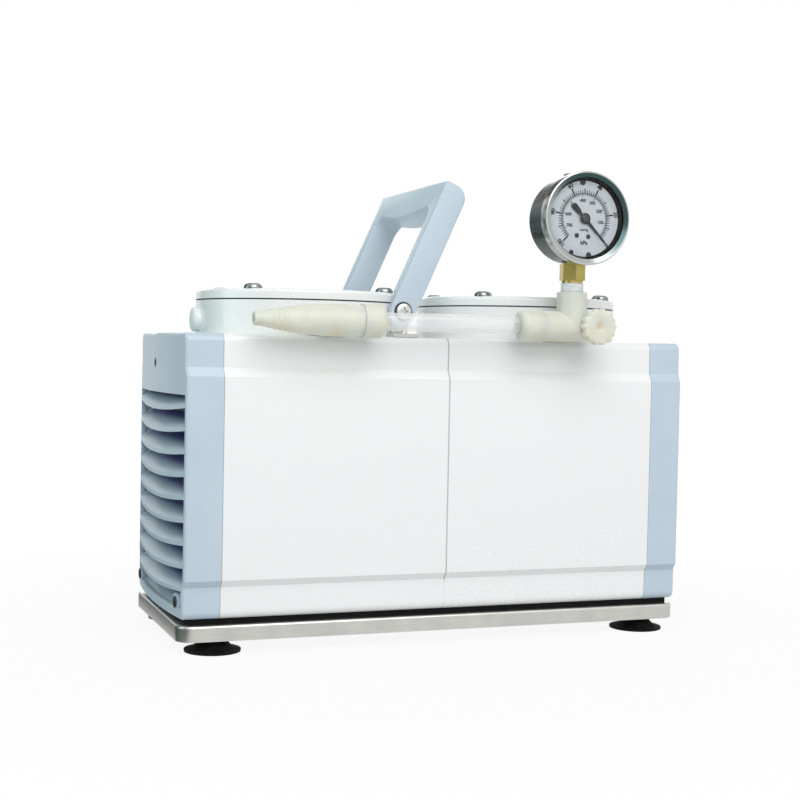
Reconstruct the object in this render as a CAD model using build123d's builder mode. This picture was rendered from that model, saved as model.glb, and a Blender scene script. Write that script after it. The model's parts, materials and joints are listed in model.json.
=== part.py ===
from build123d import *

import os
from math import cos, radians, sin, tan

os.makedirs("parts", exist_ok=True)

# Twin-head diaphragm vacuum pump. X runs along the motor shaft, left to right, Y from the front
# (the vacuum line and gauge) to the rear (mains inlet), Z up from the surface that it stands on.

# ---------------------------------------------------------------- driving dimensions (mm)
# fits
running_fit = 0.05
screw_fit = 0.05
free_gap = 0.3

# base plate: a sheet tray, folded down at its rim
plate_z = 7.0
plate_length = 304.5
plate_depth = 126.0
plate_height = 8.7
plate_sheet = 1.5
plate_corner = 9.0
plate_edge = 1.5

# rubber mat between plate and housing
mat_thickness = 3.1
mat_inset = 3.5
mat_notch = 7.0

# suction feet
foot_x = 131.0
foot_y = 51.0
foot_radius = 15.5
foot_rim = 1.2
foot_land = 2.0
foot_neck_radius = 8.0
foot_cup = 2.0
stud_radius = 3.0
stud_nut_radius = 5.5
stud_nut_height = 2.6
base_screw_x = 90.0
base_screw_y = 46.0
base_screw_radius = 2.5
base_post_radius = 5.5
base_post_height = 10.0

# body outline: a proud middle band between stepped lower and upper bands
housing_length = 260.0
band_depth = 131.0
band_step = 3.0
body_height = 154.1
lower_ramp = (17.6, 21.4)
upper_ramp = (130.9, 135.7)
body_corner = 4.5
housing_wall = 3.5
flange_thickness = 8.0
seam_groove = 0.4

# end covers
cover_length = 20.0
cover_bow = 4.5
cover_wall = 2.6
cover_frame = 3.2
cover_edge = 2.0
cover_screws = ((0.0, 137.2), (51.0, 8.7), (-51.0, 8.7))
cover_screw_radius = 1.6
cover_post_radius = 4.8
cover_post_length = 12.0
cover_rib = 3.0
louvre_count = 9
louvre_low = 16.2
louvre_pitch = 12.25
louvre_slope = 36.0
louvre_depth = 8.5
louvre_thickness = 2.2
panel_low = 120.7

# shaft line
shaft_z = 90.0
shaft_radius = 6.0
shaft_length = 254.0
web_x = 44.0
web_thickness = 5.0
web_window_radius = 12.0
web_window_circle = 41.0
bearing_radius = 16.0
bearing_width = 10.0
bearing_ring = 4.0
boss_wall = 5.0

# motor
stator_side = 104.0
stator_corner = 12.0
stator_length = 56.0
stator_bore = 29.0
slot_count = 24
slot_depth = 13.0
slot_width = 4.0
rotor_gap = 0.4
rotor_length = 58.0
winding_length = 9.0
tie_bolt_radius = 2.0
tie_bolt_y = 44.0
tie_bolt_z = 44.0

# crank
throw = 3.5
journal_radius = 12.5
journal_width = 12.0
journal_hub_radius = 11.0
counterweight_radius = 27.0
counterweight_width = 6.0
rod_bearing_radius = 23.5
rod_wall = 4.5
rod_web = 5.0
rod_disc_radius = 23.0
rod_disc_thickness = 4.0

# cooling fans
fan_x = 106.0
fan_radius = 50.0
fan_width = 20.0
fan_hub_radius = 12.0
fan_plate = 2.0
blade_count = 9
blade_thickness = 1.8

# pump heads
head_x = 69.5
head_radius = 60.8
head_height = 19.1
head_gasket = 0.8
lid_thickness = 5.4
lid_edge = 2.0
head_bolt_circle = 54.6
head_bolt_radius = 2.5
pan_head_radius = 5.3
pan_head_height = 2.9
diaphragm_radius = 58.0
diaphragm_thickness = 2.0
chamber_radius = 44.0
chamber_top_radius = 33.0
chamber_height = 7.6
clamp_radius = 25.0
clamp_thickness = 3.0
clamp_screw_radius = 3.0
pocket_radius = 46.0
pocket_depth = 6.0
pocket_rib = 4.0
valve_hole_radius = 4.0
flap_thickness = 0.6
port_z = 181.0
port_radius = 4.9
port_seat = 61.0
silencer_radius = 7.0
silencer_boss = 1.5
silencer_flange = 1.6

# vacuum line on the front
line_y = -77.0
fitting_radius = 8.75
fitting_bore = 2.6
leg_radius = 7.0
nozzle_tip_x = -117.7
nozzle_tip_radius = 3.9
nozzle_root_x = -86.0
nozzle_root_radius = 7.4
barb_count = 5
barb_lip = 0.7
tube_radius = 5.0
tube_wall = 1.5
nut_radius = 9.3
nut_length = 13.5
nut_round = 4.0
nozzle_land = 4.0
fitting_half = 12.0
cross_reach = 20.0
cross_leg_radius = 8.7
cross_top_z = 200.7
leg_spigot = 12.0
tube_socket = 9.5
regulator_x = 81.0
regulator_radius = 7.6
regulator_back = line_y + 8.0
regulator_front = line_y - 8.9
knob_radius = 10.5
knob_length = 5.3
knob_flutes = 14
flute_radius = 1.3
spindle_radius = 2.5

# vacuum gauge
gauge_z = 241.6
gauge_front = line_y - 18.0
gauge_depth = 27.5
can_radius = 24.6
can_wall = 0.8
can_round = 3.0
bezel_radius = 26.3
bezel_inner = 22.9
bezel_length = 7.0
window_thickness = 1.5
window_setback = 1.2
dial_setback = 5.2
dial_thickness = 0.6
pointer_thickness = 0.5
pointer_gap = 0.7
pointer_tip = 17.6
pointer_tail = 10.5
pointer_hub_radius = 3.0
arbor_radius = 0.9
stem_flats = 13.0
stem_turn = 19.0
stem_hex_z = 207.2
stem_thread_radius = 6.1
stem_neck_radius = 4.6
tape_thickness = 0.5
tape_top_z = 205.6
tape_low_z = 191.0
plug_y = line_y + 5.5
plug_radius = 3.7
plug_height = 2.2
coil_radius = 15.0
coil_width = 6.0
coil_thickness = 2.4
coil_y = line_y
movement_y = line_y - 6.0
movement_plate = 1.2

# carrying handle
pivot_x = -24.7
pivot_z = 187.5
handle_lean = 24.0
handle_half = 54.0
arm_width = 15.0
arm_depth = 9.0
arm_wall = 2.6
foot_tab = 5.2
foot_tab_length = 14.0
handle_reach = 79.4
handle_corner = 7.0
grip_height = 24.5
grip_belly = 3.0
pivot_radius = 2.5
pivot_head_radius = 4.5
pivot_head_height = 1.8
bracket_sheet = 2.0
bracket_ear = 9.6
bracket_width = 15.0
bracket_flange = 11.0
bracket_screw_radius = 1.5
bracket_screw_head = 3.2

# mains inlet on the rear
inlet_x = 85.0
inlet_z = 62.0
inlet_width = 28.0
inlet_height = 48.0
inlet_flange = 2.5
socket_width = 24.6
socket_height = 16.6
socket_depth = 14.0
rocker_width = 19.0
rocker_height = 13.0
rocker_tilt = 8.0

# ---------------------------------------------------------------- places that follow from them
body_z = plate_z + plate_height + mat_thickness
body_top = body_z + body_height
band_half = band_depth / 2
step_half = band_half - band_step
cover_x = housing_length / 2
crank_x = head_x
head_top = body_top + head_height
lid_z = head_top + head_gasket
lid_top = lid_z + lid_thickness
diaphragm_z = body_top
chamber_top = body_top + diaphragm_thickness + chamber_height
pocket_z = head_top - pocket_depth
sides = (("left", -1), ("right", 1))


def body_plane(x):
    """Plane across the body at x, with its origin at the housing's underside."""
    return Plane(origin=(x, 0, body_z), x_dir=(0, 1, 0), z_dir=(1, 0, 0))


def cross_plane(x, y=0.0, z=shaft_z):
    """Plane across the shaft line at x, looking along +X."""
    return Plane(origin=(x, y, z), x_dir=(0, 1, 0), z_dir=(1, 0, 0))


def front_plane(x, y, z):
    """Upright plane at y that faces the front, with X to the right."""
    return Plane(origin=(x, y, z), x_dir=(1, 0, 0), z_dir=(0, -1, 0))


def body_section(inset=0.0):
    """Outline of the body across its length, drawn in by inset."""
    half = band_half - inset
    step = step_half - inset
    right = [
        (step, inset),
        (step, lower_ramp[0]),
        (half, lower_ramp[1]),
        (half, upper_ramp[0]),
        (step, upper_ramp[1]),
        (step, body_height - inset),
    ]
    left = [(-y, z) for y, z in reversed(right)]
    with BuildSketch() as section:
        with BuildLine():
            Polyline(*right, *left, close=True)
        make_face()
        rows = section.vertices().group_by(Axis.Y)
        fillet(rows[0] + rows[-1], max(body_corner - inset, 1.0))
    return section.sketch


# ---------------------------------------------------------------- base plate, mat and feet
with BuildPart() as base_plate:
    with BuildSketch(Plane.XY.offset(plate_z)):
        RectangleRounded(plate_length, plate_depth, plate_corner)
    extrude(amount=plate_height)
    fillet(base_plate.faces().sort_by(Axis.Z)[-1].edges(), plate_edge)
    with BuildSketch(Plane.XY.offset(plate_z)):
        RectangleRounded(
            plate_length - 2 * plate_sheet,
            plate_depth - 2 * plate_sheet,
            plate_corner - plate_sheet,
        )
    extrude(amount=plate_height - plate_sheet, mode=Mode.SUBTRACT)
    with BuildSketch(Plane.XY.offset(plate_z)):
        with GridLocations(2 * foot_x, 2 * foot_y, 2, 2):
            Circle(stud_radius + screw_fit)
        with GridLocations(2 * base_screw_x, 2 * base_screw_y, 2, 2):
            Circle(base_screw_radius + screw_fit)
    extrude(amount=plate_height, mode=Mode.SUBTRACT)
base_plate.part.label = "base_plate"
export_step(base_plate.part, "parts/base_plate.step")

with BuildPart() as base_mat:
    with BuildSketch(Plane.XY.offset(plate_z + plate_height)):
        Rectangle(housing_length + 2 * cover_length - 2 * mat_inset, 2 * (step_half - mat_inset))
        with GridLocations(2 * foot_x, 2 * foot_y, 2, 2):
            Circle(mat_notch, mode=Mode.SUBTRACT)
        with GridLocations(2 * base_screw_x, 2 * base_screw_y, 2, 2):
            Circle(base_screw_radius + screw_fit, mode=Mode.SUBTRACT)
    extrude(amount=mat_thickness)
base_mat.part.label = "base_mat"
export_step(base_mat.part, "parts/base_mat.step")

foot_top = plate_z + plate_height - plate_sheet
for end, foot_end, end_sign, y in (
    ("front", "left", -1, -foot_y),
    ("front", "right", 1, -foot_y),
    ("rear", "left", -1, foot_y),
    ("rear", "right", 1, foot_y),
):
    with BuildPart() as foot:
        with BuildSketch(front_plane(end_sign * foot_x, y, 0)):
            with BuildLine():
                Line((0, foot_cup), (foot_neck_radius, foot_cup * 0.7))
                Line((foot_neck_radius, foot_cup * 0.7), (foot_radius - foot_land, 0))
                Line((foot_radius - foot_land, 0), (foot_radius, 0))
                Line((foot_radius, 0), (foot_radius, foot_rim))
                ThreePointArc(
                    (foot_radius, foot_rim),
                    (foot_neck_radius + 2.5, foot_rim + 1.8),
                    (foot_neck_radius, plate_z - 1.0),
                )
                Line((foot_neck_radius, plate_z - 1.0), (foot_neck_radius, foot_top))
                Line((foot_neck_radius, foot_top), (0, foot_top))
                Line((0, foot_top), (0, foot_cup))
            make_face()
        revolve(axis=Axis((end_sign * foot_x, y, 0), (0, 0, 1)))
        with BuildSketch(Plane.XY.offset(foot_cup + 2 * foot_rim)):
            with Locations((end_sign * foot_x, y)):
                Circle(stud_radius + screw_fit)
        extrude(amount=foot_top, mode=Mode.SUBTRACT)
    foot.part.label = f"foot_{end}_{foot_end}"
    export_step(foot.part, f"parts/foot_{end}_{foot_end}.step")

# the studs of the feet with their nuts, and the screws that hold the housing down on the plate
with BuildPart() as base_fasteners:
    nut_z = plate_z + plate_height
    with BuildSketch(Plane.XY.offset(foot_cup + 2 * foot_rim)):
        with GridLocations(2 * foot_x, 2 * foot_y, 2, 2):
            Circle(stud_radius)
    extrude(amount=nut_z + stud_nut_height - foot_cup - 2 * foot_rim)
    with BuildSketch(Plane.XY.offset(nut_z)):
        with GridLocations(2 * foot_x, 2 * foot_y, 2, 2):
            RegularPolygon(stud_nut_radius, 6)
    extrude(amount=stud_nut_height)
    with BuildSketch(Plane.XY.offset(foot_top)):
        with GridLocations(2 * base_screw_x, 2 * base_screw_y, 2, 2):
            Circle(2 * base_screw_radius)
    extrude(amount=-base_screw_radius)
    with BuildSketch(Plane.XY.offset(foot_top)):
        with GridLocations(2 * base_screw_x, 2 * base_screw_y, 2, 2):
            Circle(base_screw_radius)
    extrude(amount=body_z + base_post_height - foot_top - 1)
base_fasteners.part.label = "base_fasteners"
export_step(base_fasteners.part, "parts/base_fasteners.step")


# ---------------------------------------------------------------- housing halves
def housing_room():
    """Hollow section of the housing, under the thick flange that carries the heads."""
    with BuildSketch() as room:
        add(body_section(housing_wall))
        with Locations((0, body_height)):
            Rectangle(2 * band_depth, 2 * flange_thickness, mode=Mode.SUBTRACT)
    return room.sketch


def screw_posts():
    """Round posts for the end cover's screws, each tied to the wall beside it by a rib."""
    with BuildSketch() as posts:
        with Locations(*cover_screws):
            Circle(cover_post_radius)
        for y, z in cover_screws:
            wall_z = cover_wall / 2 if z < body_height / 2 else body_height - cover_wall / 2
            with Locations((y, (z + wall_z) / 2)):
                Rectangle(cover_rib, abs(wall_z - z))
    return posts.sketch


for side, sign in sides:
    with BuildPart() as housing:
        with BuildSketch(body_plane(0)):
            add(body_section())
        extrude(amount=housing_length / 2)
        # a fine rebate at the seam, so that the joint shows as a line
        with BuildSketch(body_plane(0)):
            add(body_section())
            add(body_section(seam_groove), mode=Mode.SUBTRACT)
        extrude(amount=seam_groove, mode=Mode.SUBTRACT)
        # motor room inside the seam and crank room outside the bearing web
        with BuildSketch(body_plane(0)):
            add(housing_room())
        extrude(amount=web_x, mode=Mode.SUBTRACT)
        with BuildSketch(body_plane(web_x + web_thickness)):
            add(housing_room())
        extrude(amount=housing_length / 2, mode=Mode.SUBTRACT)
        # bearing boss on the web
        with BuildSketch(cross_plane(web_x)):
            Circle(bearing_radius + boss_wall)
        extrude(amount=bearing_width + 2)
        with BuildSketch(cross_plane(web_x + 2)):
            Circle(bearing_radius + running_fit)
        extrude(amount=bearing_width, mode=Mode.SUBTRACT)
        with BuildSketch(cross_plane(web_x)):
            Circle(bearing_radius - bearing_ring)
            with PolarLocations(web_window_circle, 4, start_angle=45):
                Circle(web_window_radius)
            with GridLocations(2 * tie_bolt_y, 2 * tie_bolt_z, 2, 2):
                Circle(tie_bolt_radius + screw_fit)
        extrude(amount=web_thickness, mode=Mode.SUBTRACT)
        # diaphragm opening and the threaded holes for the lid screws, through the top flange
        with BuildSketch(Plane.XY.offset(body_top - flange_thickness)):
            with Locations((head_x, 0)):
                Circle(chamber_radius)
                with PolarLocations(head_bolt_circle, 4, start_angle=45):
                    Circle(head_bolt_radius + screw_fit)
        extrude(amount=flange_thickness, mode=Mode.SUBTRACT)
        # posts for the end cover's screws
        with BuildSketch(body_plane(cover_x - cover_post_length)):
            add(screw_posts())
        extrude(amount=cover_post_length)
        with BuildSketch(body_plane(cover_x - cover_post_length)):
            with Locations(*cover_screws):
                Circle(cover_screw_radius + screw_fit)
        extrude(amount=cover_post_length, mode=Mode.SUBTRACT)
        # posts in the floor for the screws from the base plate
        with BuildSketch(Plane.XY.offset(body_z)):
            with Locations((base_screw_x, base_screw_y), (base_screw_x, -base_screw_y)):
                Circle(base_post_radius)
        extrude(amount=base_post_height)
        with BuildSketch(Plane.XY.offset(body_z)):
            with Locations((base_screw_x, base_screw_y), (base_screw_x, -base_screw_y)):
                Circle(base_screw_radius + screw_fit)
        extrude(amount=base_post_height, mode=Mode.SUBTRACT)
        if side == "left":
            mirror(about=Plane.YZ, mode=Mode.REPLACE)
        else:
            # opening for the mains inlet in the rear wall
            with BuildSketch(front_plane(inlet_x, band_half, inlet_z)):
                Rectangle(inlet_width + 2 * free_gap, inlet_height + 2 * free_gap)
            extrude(amount=2 * housing_wall, mode=Mode.SUBTRACT)
    housing.part.label = f"housing_{side}"
    export_step(housing.part, f"parts/housing_{side}.step")


# ---------------------------------------------------------------- louvred end covers
def bowed_block(depth, half):
    """Solid over the cover's plan, from its joint face to an outer face bowed about upright axes."""
    edge_x = cover_x + cover_length - depth
    with BuildPart() as block:
        with BuildSketch(Plane.XY.offset(body_z)):
            with BuildLine():
                ThreePointArc((edge_x, -half), (edge_x + cover_bow, 0), (edge_x, half))
                Polyline((edge_x, half), (cover_x, half), (cover_x, -half), (edge_x, -half))
            make_face()
        extrude(amount=body_height)
    return block.part


for side, sign in sides:
    with BuildPart() as cover_room:
        with BuildSketch(body_plane(cover_x)):
            add(body_section(cover_wall))
        extrude(amount=cover_length + cover_bow)
        add(bowed_block(cover_wall, band_half), mode=Mode.INTERSECT)
    with BuildPart() as louvres:
        drop = tan(radians(louvre_slope))
        for number in range(louvre_count + 1):
            level = body_z + louvre_low + (number - 1) * louvre_pitch
            inner = cover_x + cover_length - louvre_depth
            outer = cover_x + cover_length + cover_bow
            rise = drop * louvre_depth
            fall = drop * cover_bow
            with BuildSketch(Plane.XZ.offset(-band_half)):
                with BuildLine():
                    Polyline(
                        (inner, level + rise),
                        (outer, level - fall),
                        (outer, level - fall + louvre_thickness),
                        (inner, level + rise + louvre_thickness),
                        close=True,
                    )
                make_face()
            extrude(amount=band_depth)
        with BuildSketch(body_plane(cover_x)):
            add(screw_posts())
        extrude(amount=cover_length + cover_bow)
        add(bowed_block(0, band_half), mode=Mode.INTERSECT)
        with BuildSketch(body_plane(cover_x)):
            add(body_section(cover_wall / 2))
        extrude(amount=cover_length + cover_bow, mode=Mode.INTERSECT)
    with BuildPart() as end_cover:
        with BuildSketch(body_plane(cover_x)):
            add(body_section())
        extrude(amount=cover_length + cover_bow)
        add(bowed_block(0, band_half), mode=Mode.INTERSECT)
        outer_face = end_cover.faces().sort_by(Axis.X)[-1]
        fillet(outer_face.edges(), cover_edge)
        add(cover_room.part, mode=Mode.SUBTRACT)
        # the louvred window, as wide as the room inside the frame
        with BuildSketch(body_plane(cover_x + cover_length / 2)):
            add(body_section(cover_frame))
            with Locations((0, panel_low)):
                Rectangle(2 * band_depth, body_height, align=(Align.CENTER, Align.MIN), mode=Mode.SUBTRACT)
            with Locations((0, louvre_low - louvre_pitch + louvre_thickness)):
                Rectangle(2 * band_depth, body_height, align=(Align.CENTER, Align.MAX), mode=Mode.SUBTRACT)
        extrude(amount=cover_length, mode=Mode.SUBTRACT)
        add(louvres.part)
        with BuildSketch(body_plane(cover_x)):
            with Locations(*cover_screws):
                Circle(cover_screw_radius + screw_fit)
        extrude(amount=cover_length + cover_bow, mode=Mode.SUBTRACT)
        if side == "left":
            mirror(about=Plane.YZ, mode=Mode.REPLACE)
    end_cover.part.label = f"end_cover_{side}"
    export_step(end_cover.part, f"parts/end_cover_{side}.step")

with BuildPart() as cover_screws_set:
    for sign in (-1, 1):
        for y, z in cover_screws:
            face_x = cover_x + cover_length + cover_bow * (1 - (y / band_half) ** 2)
            with BuildSketch(body_plane(sign * (cover_x - cover_post_length))):
                with Locations((y, z)):
                    Circle(cover_screw_radius)
            extrude(amount=sign * (face_x - cover_x + cover_post_length - cover_screw_radius))
cover_screws_set.part.label = "cover_screws"
export_step(cover_screws_set.part, "parts/cover_screws.step")


# ---------------------------------------------------------------- pump heads
def pocket_pair():
    """The two half-round pockets over the valves, parted by a slanting rib and led to their ports."""
    with BuildSketch() as pockets:
        Circle(pocket_radius)
        with Locations((0, -pocket_radius), (pocket_radius, 0)):
            Circle(port_radius)
        Rectangle(3 * pocket_radius, pocket_rib, rotation=-45, mode=Mode.SUBTRACT)
    return pockets.sketch


for side, sign in sides:
    with BuildPart() as pump_head:
        with BuildSketch(Plane.XY.offset(body_top)):
            with Locations((head_x, 0)):
                Circle(head_radius)
        extrude(amount=head_height)
        # flat seat of the front port, and the round boss of the outlet port at the outer end
        with BuildSketch(front_plane(head_x, -port_seat + 2, port_z)):
            Circle(leg_radius + free_gap)
        extrude(amount=4)
        with BuildSketch(front_plane(head_x, -port_seat, port_z)):
            Circle(leg_radius + 2)
        extrude(amount=4, mode=Mode.SUBTRACT)
        with BuildSketch(cross_plane(head_x + head_radius - 6, 0, port_z)):
            Circle(silencer_radius)
        extrude(amount=6 + silencer_boss)
        # recess for the diaphragm's rim, and the chamber over it
        with BuildSketch(Plane.XY.offset(body_top)):
            with Locations((head_x, 0)):
                Circle(diaphragm_radius + free_gap)
        extrude(amount=diaphragm_thickness, mode=Mode.SUBTRACT)
        with BuildSketch(Plane.XY.offset(body_top + diaphragm_thickness)):
            with Locations((head_x, 0)):
                Circle(chamber_radius)
        with BuildSketch(Plane.XY.offset(chamber_top)):
            with Locations((head_x, 0)):
                Circle(chamber_top_radius)
        loft(mode=Mode.SUBTRACT)
        # valve pockets under the lid, with their valve holes down into the chamber
        with BuildSketch(Plane.XY.offset(pocket_z)):
            with Locations((head_x, 0)):
                add(pocket_pair())
        extrude(amount=pocket_depth, mode=Mode.SUBTRACT)
        with BuildSketch(Plane.XY.offset(chamber_top)):
            with Locations((head_x, 0)):
                with PolarLocations(chamber_top_radius / 2, 2, start_angle=45):
                    Circle(valve_hole_radius)
        extrude(amount=pocket_z - chamber_top, mode=Mode.SUBTRACT)
        # ports: in from the side, then up into the pockets
        with BuildSketch(front_plane(head_x, -pocket_radius, port_z)):
            Circle(port_radius)
        extrude(amount=head_radius, mode=Mode.SUBTRACT)
        with BuildSketch(cross_plane(head_x + pocket_radius, 0, port_z)):
            Circle(port_radius)
        extrude(amount=head_radius, mode=Mode.SUBTRACT)
        with BuildSketch(Plane.XY.offset(port_z)):
            with Locations((head_x, -pocket_radius), (head_x + pocket_radius, 0)):
                Circle(port_radius / 2)
        extrude(amount=pocket_depth, mode=Mode.SUBTRACT)
        with BuildSketch(Plane.XY.offset(body_top)):
            with Locations((head_x, 0)):
                with PolarLocations(head_bolt_circle, 4, start_angle=45):
                    Circle(head_bolt_radius + screw_fit)
        extrude(amount=head_height, mode=Mode.SUBTRACT)
        if side == "left":
            mirror(about=Plane.YZ, mode=Mode.REPLACE)
    pump_head.part.label = f"pump_head_{side}"
    export_step(pump_head.part, f"parts/pump_head_{side}.step")

    with BuildPart() as gasket:
        with BuildSketch(Plane.XY.offset(head_top)):
            with Locations((head_x, 0)):
                Circle(head_radius - free_gap)
                add(pocket_pair(), mode=Mode.SUBTRACT)
                with PolarLocations(head_bolt_circle, 4, start_angle=45):
                    Circle(head_bolt_radius + screw_fit, mode=Mode.SUBTRACT)
        extrude(amount=head_gasket)
        if side == "left":
            mirror(about=Plane.YZ, mode=Mode.REPLACE)
    gasket.part.label = f"head_gasket_{side}"
    export_step(gasket.part, f"parts/head_gasket_{side}.step")

    with BuildPart() as lid:
        with BuildSketch(Plane.XY.offset(lid_z)):
            with Locations((sign * head_x, 0)):
                Circle(head_radius)
        extrude(amount=lid_thickness)
        fillet(lid.faces().sort_by(Axis.Z)[-1].edges(), lid_edge)
        with BuildSketch(Plane.XY.offset(lid_z)):
            with Locations((sign * head_x, 0)):
                with PolarLocations(head_bolt_circle, 4, start_angle=45):
                    Circle(head_bolt_radius + screw_fit)
        extrude(amount=lid_thickness, mode=Mode.SUBTRACT)
    lid.part.label = f"head_lid_{side}"
    export_step(lid.part, f"parts/head_lid_{side}.step")

    # the diaphragm: a clamped rim, a slanting annulus, and a centre carried by the rod's clamp
    lift = -sign * throw
    with BuildPart() as diaphragm:
        with BuildSketch(front_plane(sign * head_x, 0, diaphragm_z)):
            with BuildLine():
                Polyline(
                    (clamp_screw_radius + free_gap, lift),
                    (clamp_radius + 1, lift),
                    (chamber_radius - 1, 0),
                    (diaphragm_radius, 0),
                    (diaphragm_radius, diaphragm_thickness),
                    (chamber_radius - 1, diaphragm_thickness),
                    (clamp_radius + 1, lift + diaphragm_thickness),
                    (clamp_screw_radius + free_gap, lift + diaphragm_thickness),
                    close=True,
                )
            make_face()
        revolve(axis=Axis((sign * head_x, 0, 0), (0, 0, 1)))
        with BuildSketch(Plane.XY.offset(diaphragm_z)):
            with Locations((sign * head_x, 0)):
                with PolarLocations(head_bolt_circle, 4, start_angle=45):
                    Circle(head_bolt_radius + screw_fit)
        extrude(amount=diaphragm_thickness, mode=Mode.SUBTRACT)
    diaphragm.part.label = f"diaphragm_{side}"
    export_step(diaphragm.part, f"parts/diaphragm_{side}.step")

    with BuildPart() as silencer:
        face_x = head_x + head_radius + silencer_boss
        with BuildSketch(cross_plane(head_x + pocket_radius + port_radius, 0, port_z)):
            Circle(port_radius - screw_fit)
        extrude(amount=face_x - head_x - pocket_radius - port_radius)
        with BuildSketch(cross_plane(face_x, 0, port_z)):
            Circle(silencer_radius)
        extrude(amount=silencer_flange)
        if side == "left":
            mirror(about=Plane.YZ, mode=Mode.REPLACE)
    silencer.part.label = f"exhaust_silencer_{side}"
    export_step(silencer.part, f"parts/exhaust_silencer_{side}.step")

# outlet flaps over their holes in the pockets, inlet flaps under theirs in the chambers' roofs
with BuildPart() as valve_flaps:
    reach = chamber_top_radius / 2 * cos(radians(45))
    for sign in (-1, 1):
        for offset_sign, z in ((1, pocket_z), (-1, chamber_top - flap_thickness)):
            with BuildSketch(Plane.XY.offset(z)):
                with Locations((sign * (head_x + offset_sign * reach), offset_sign * reach)):
                    SlotCenterToCenter(3 * valve_hole_radius, 3 * valve_hole_radius, rotation=-sign * 45)
            extrude(amount=flap_thickness)
valve_flaps.part.label = "valve_flaps"
export_step(valve_flaps.part, "parts/valve_flaps.step")

with BuildPart() as lid_screws:
    shank_z = body_top - flange_thickness + 1
    for sign in (-1, 1):
        with BuildSketch(Plane.XY.offset(shank_z)):
            with Locations((sign * head_x, 0)):
                with PolarLocations(head_bolt_circle, 4, start_angle=45):
                    Circle(head_bolt_radius)
        extrude(amount=lid_top - shank_z)
        with BuildSketch(Plane.XY.offset(lid_top)):
            with Locations((sign * head_x, 0)):
                with PolarLocations(head_bolt_circle, 4, start_angle=45):
                    Circle(pan_head_radius)
        extrude(amount=pan_head_height)
    fillet(lid_screws.faces().group_by(Axis.Z)[-1].edges(), pan_head_height * 0.7)
lid_screws.part.label = "lid_screws"
export_step(lid_screws.part, "parts/lid_screws.step")


# ---------------------------------------------------------------- motor
with BuildPart() as stator_core:
    with BuildSketch(cross_plane(-stator_length / 2)):
        RectangleRounded(stator_side, stator_side, stator_corner)
        Circle(stator_bore, mode=Mode.SUBTRACT)
        with PolarLocations(stator_bore + slot_depth / 2, slot_count):
            Rectangle(slot_depth + 1, slot_width, mode=Mode.SUBTRACT)
        with GridLocations(2 * tie_bolt_y, 2 * tie_bolt_z, 2, 2):
            Circle(tie_bolt_radius + screw_fit, mode=Mode.SUBTRACT)
    extrude(amount=stator_length)
stator_core.part.label = "stator_core"
export_step(stator_core.part, "parts/stator_core.step")

with BuildPart() as stator_windings:
    for sign in (-1, 1):
        with BuildSketch(cross_plane(sign * stator_length / 2)):
            Circle(stator_bore + slot_depth)
            Circle(stator_bore + 1.5, mode=Mode.SUBTRACT)
        extrude(amount=sign * winding_length)
    ends = stator_windings.faces().group_by(Axis.X)
    fillet(ends[0].edges() + ends[-1].edges(), winding_length / 3)
stator_windings.part.label = "stator_windings"
export_step(stator_windings.part, "parts/stator_windings.step")

with BuildPart() as tie_bolts:
    bolt_end = web_x + web_thickness
    with BuildSketch(cross_plane(-bolt_end)):
        with GridLocations(2 * tie_bolt_y, 2 * tie_bolt_z, 2, 2):
            Circle(tie_bolt_radius)
    extrude(amount=2 * bolt_end)
    for sign in (-1, 1):
        with BuildSketch(cross_plane(sign * bolt_end)):
            with GridLocations(2 * tie_bolt_y, 2 * tie_bolt_z, 2, 2):
                RegularPolygon(2 * tie_bolt_radius, 6)
        extrude(amount=sign * 2 * tie_bolt_radius)
tie_bolts.part.label = "tie_bolts"
export_step(tie_bolts.part, "parts/tie_bolts.step")

with BuildPart() as motor_shaft:
    with BuildSketch(cross_plane(-shaft_length / 2)):
        Circle(shaft_radius)
    extrude(amount=shaft_length)
    tips = motor_shaft.faces().group_by(Axis.X)
    chamfer(tips[0].edges() + tips[-1].edges(), 1)
motor_shaft.part.label = "motor_shaft"
export_step(motor_shaft.part, "parts/motor_shaft.step")

with BuildPart() as rotor_core:
    with BuildSketch(cross_plane(-rotor_length / 2)):
        Circle(stator_bore - rotor_gap)
        Circle(shaft_radius + screw_fit, mode=Mode.SUBTRACT)
    extrude(amount=rotor_length)
rotor_core.part.label = "rotor_core"
export_step(rotor_core.part, "parts/rotor_core.step")

inner_race = shaft_radius + bearing_ring - 0.5
for name, outer_radius, inner_radius in (
    ("bearing_inner_rings", inner_race, shaft_radius + screw_fit),
    ("bearing_outer_rings", bearing_radius, inner_race + running_fit),
):
    with BuildPart() as rings:
        for sign in (-1, 1):
            with BuildSketch(cross_plane(sign * (web_x + 2))):
                Circle(outer_radius)
                Circle(inner_radius, mode=Mode.SUBTRACT)
            extrude(amount=sign * bearing_width)
    rings.part.label = name
    export_step(rings.part, f"parts/{name}.step")

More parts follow.
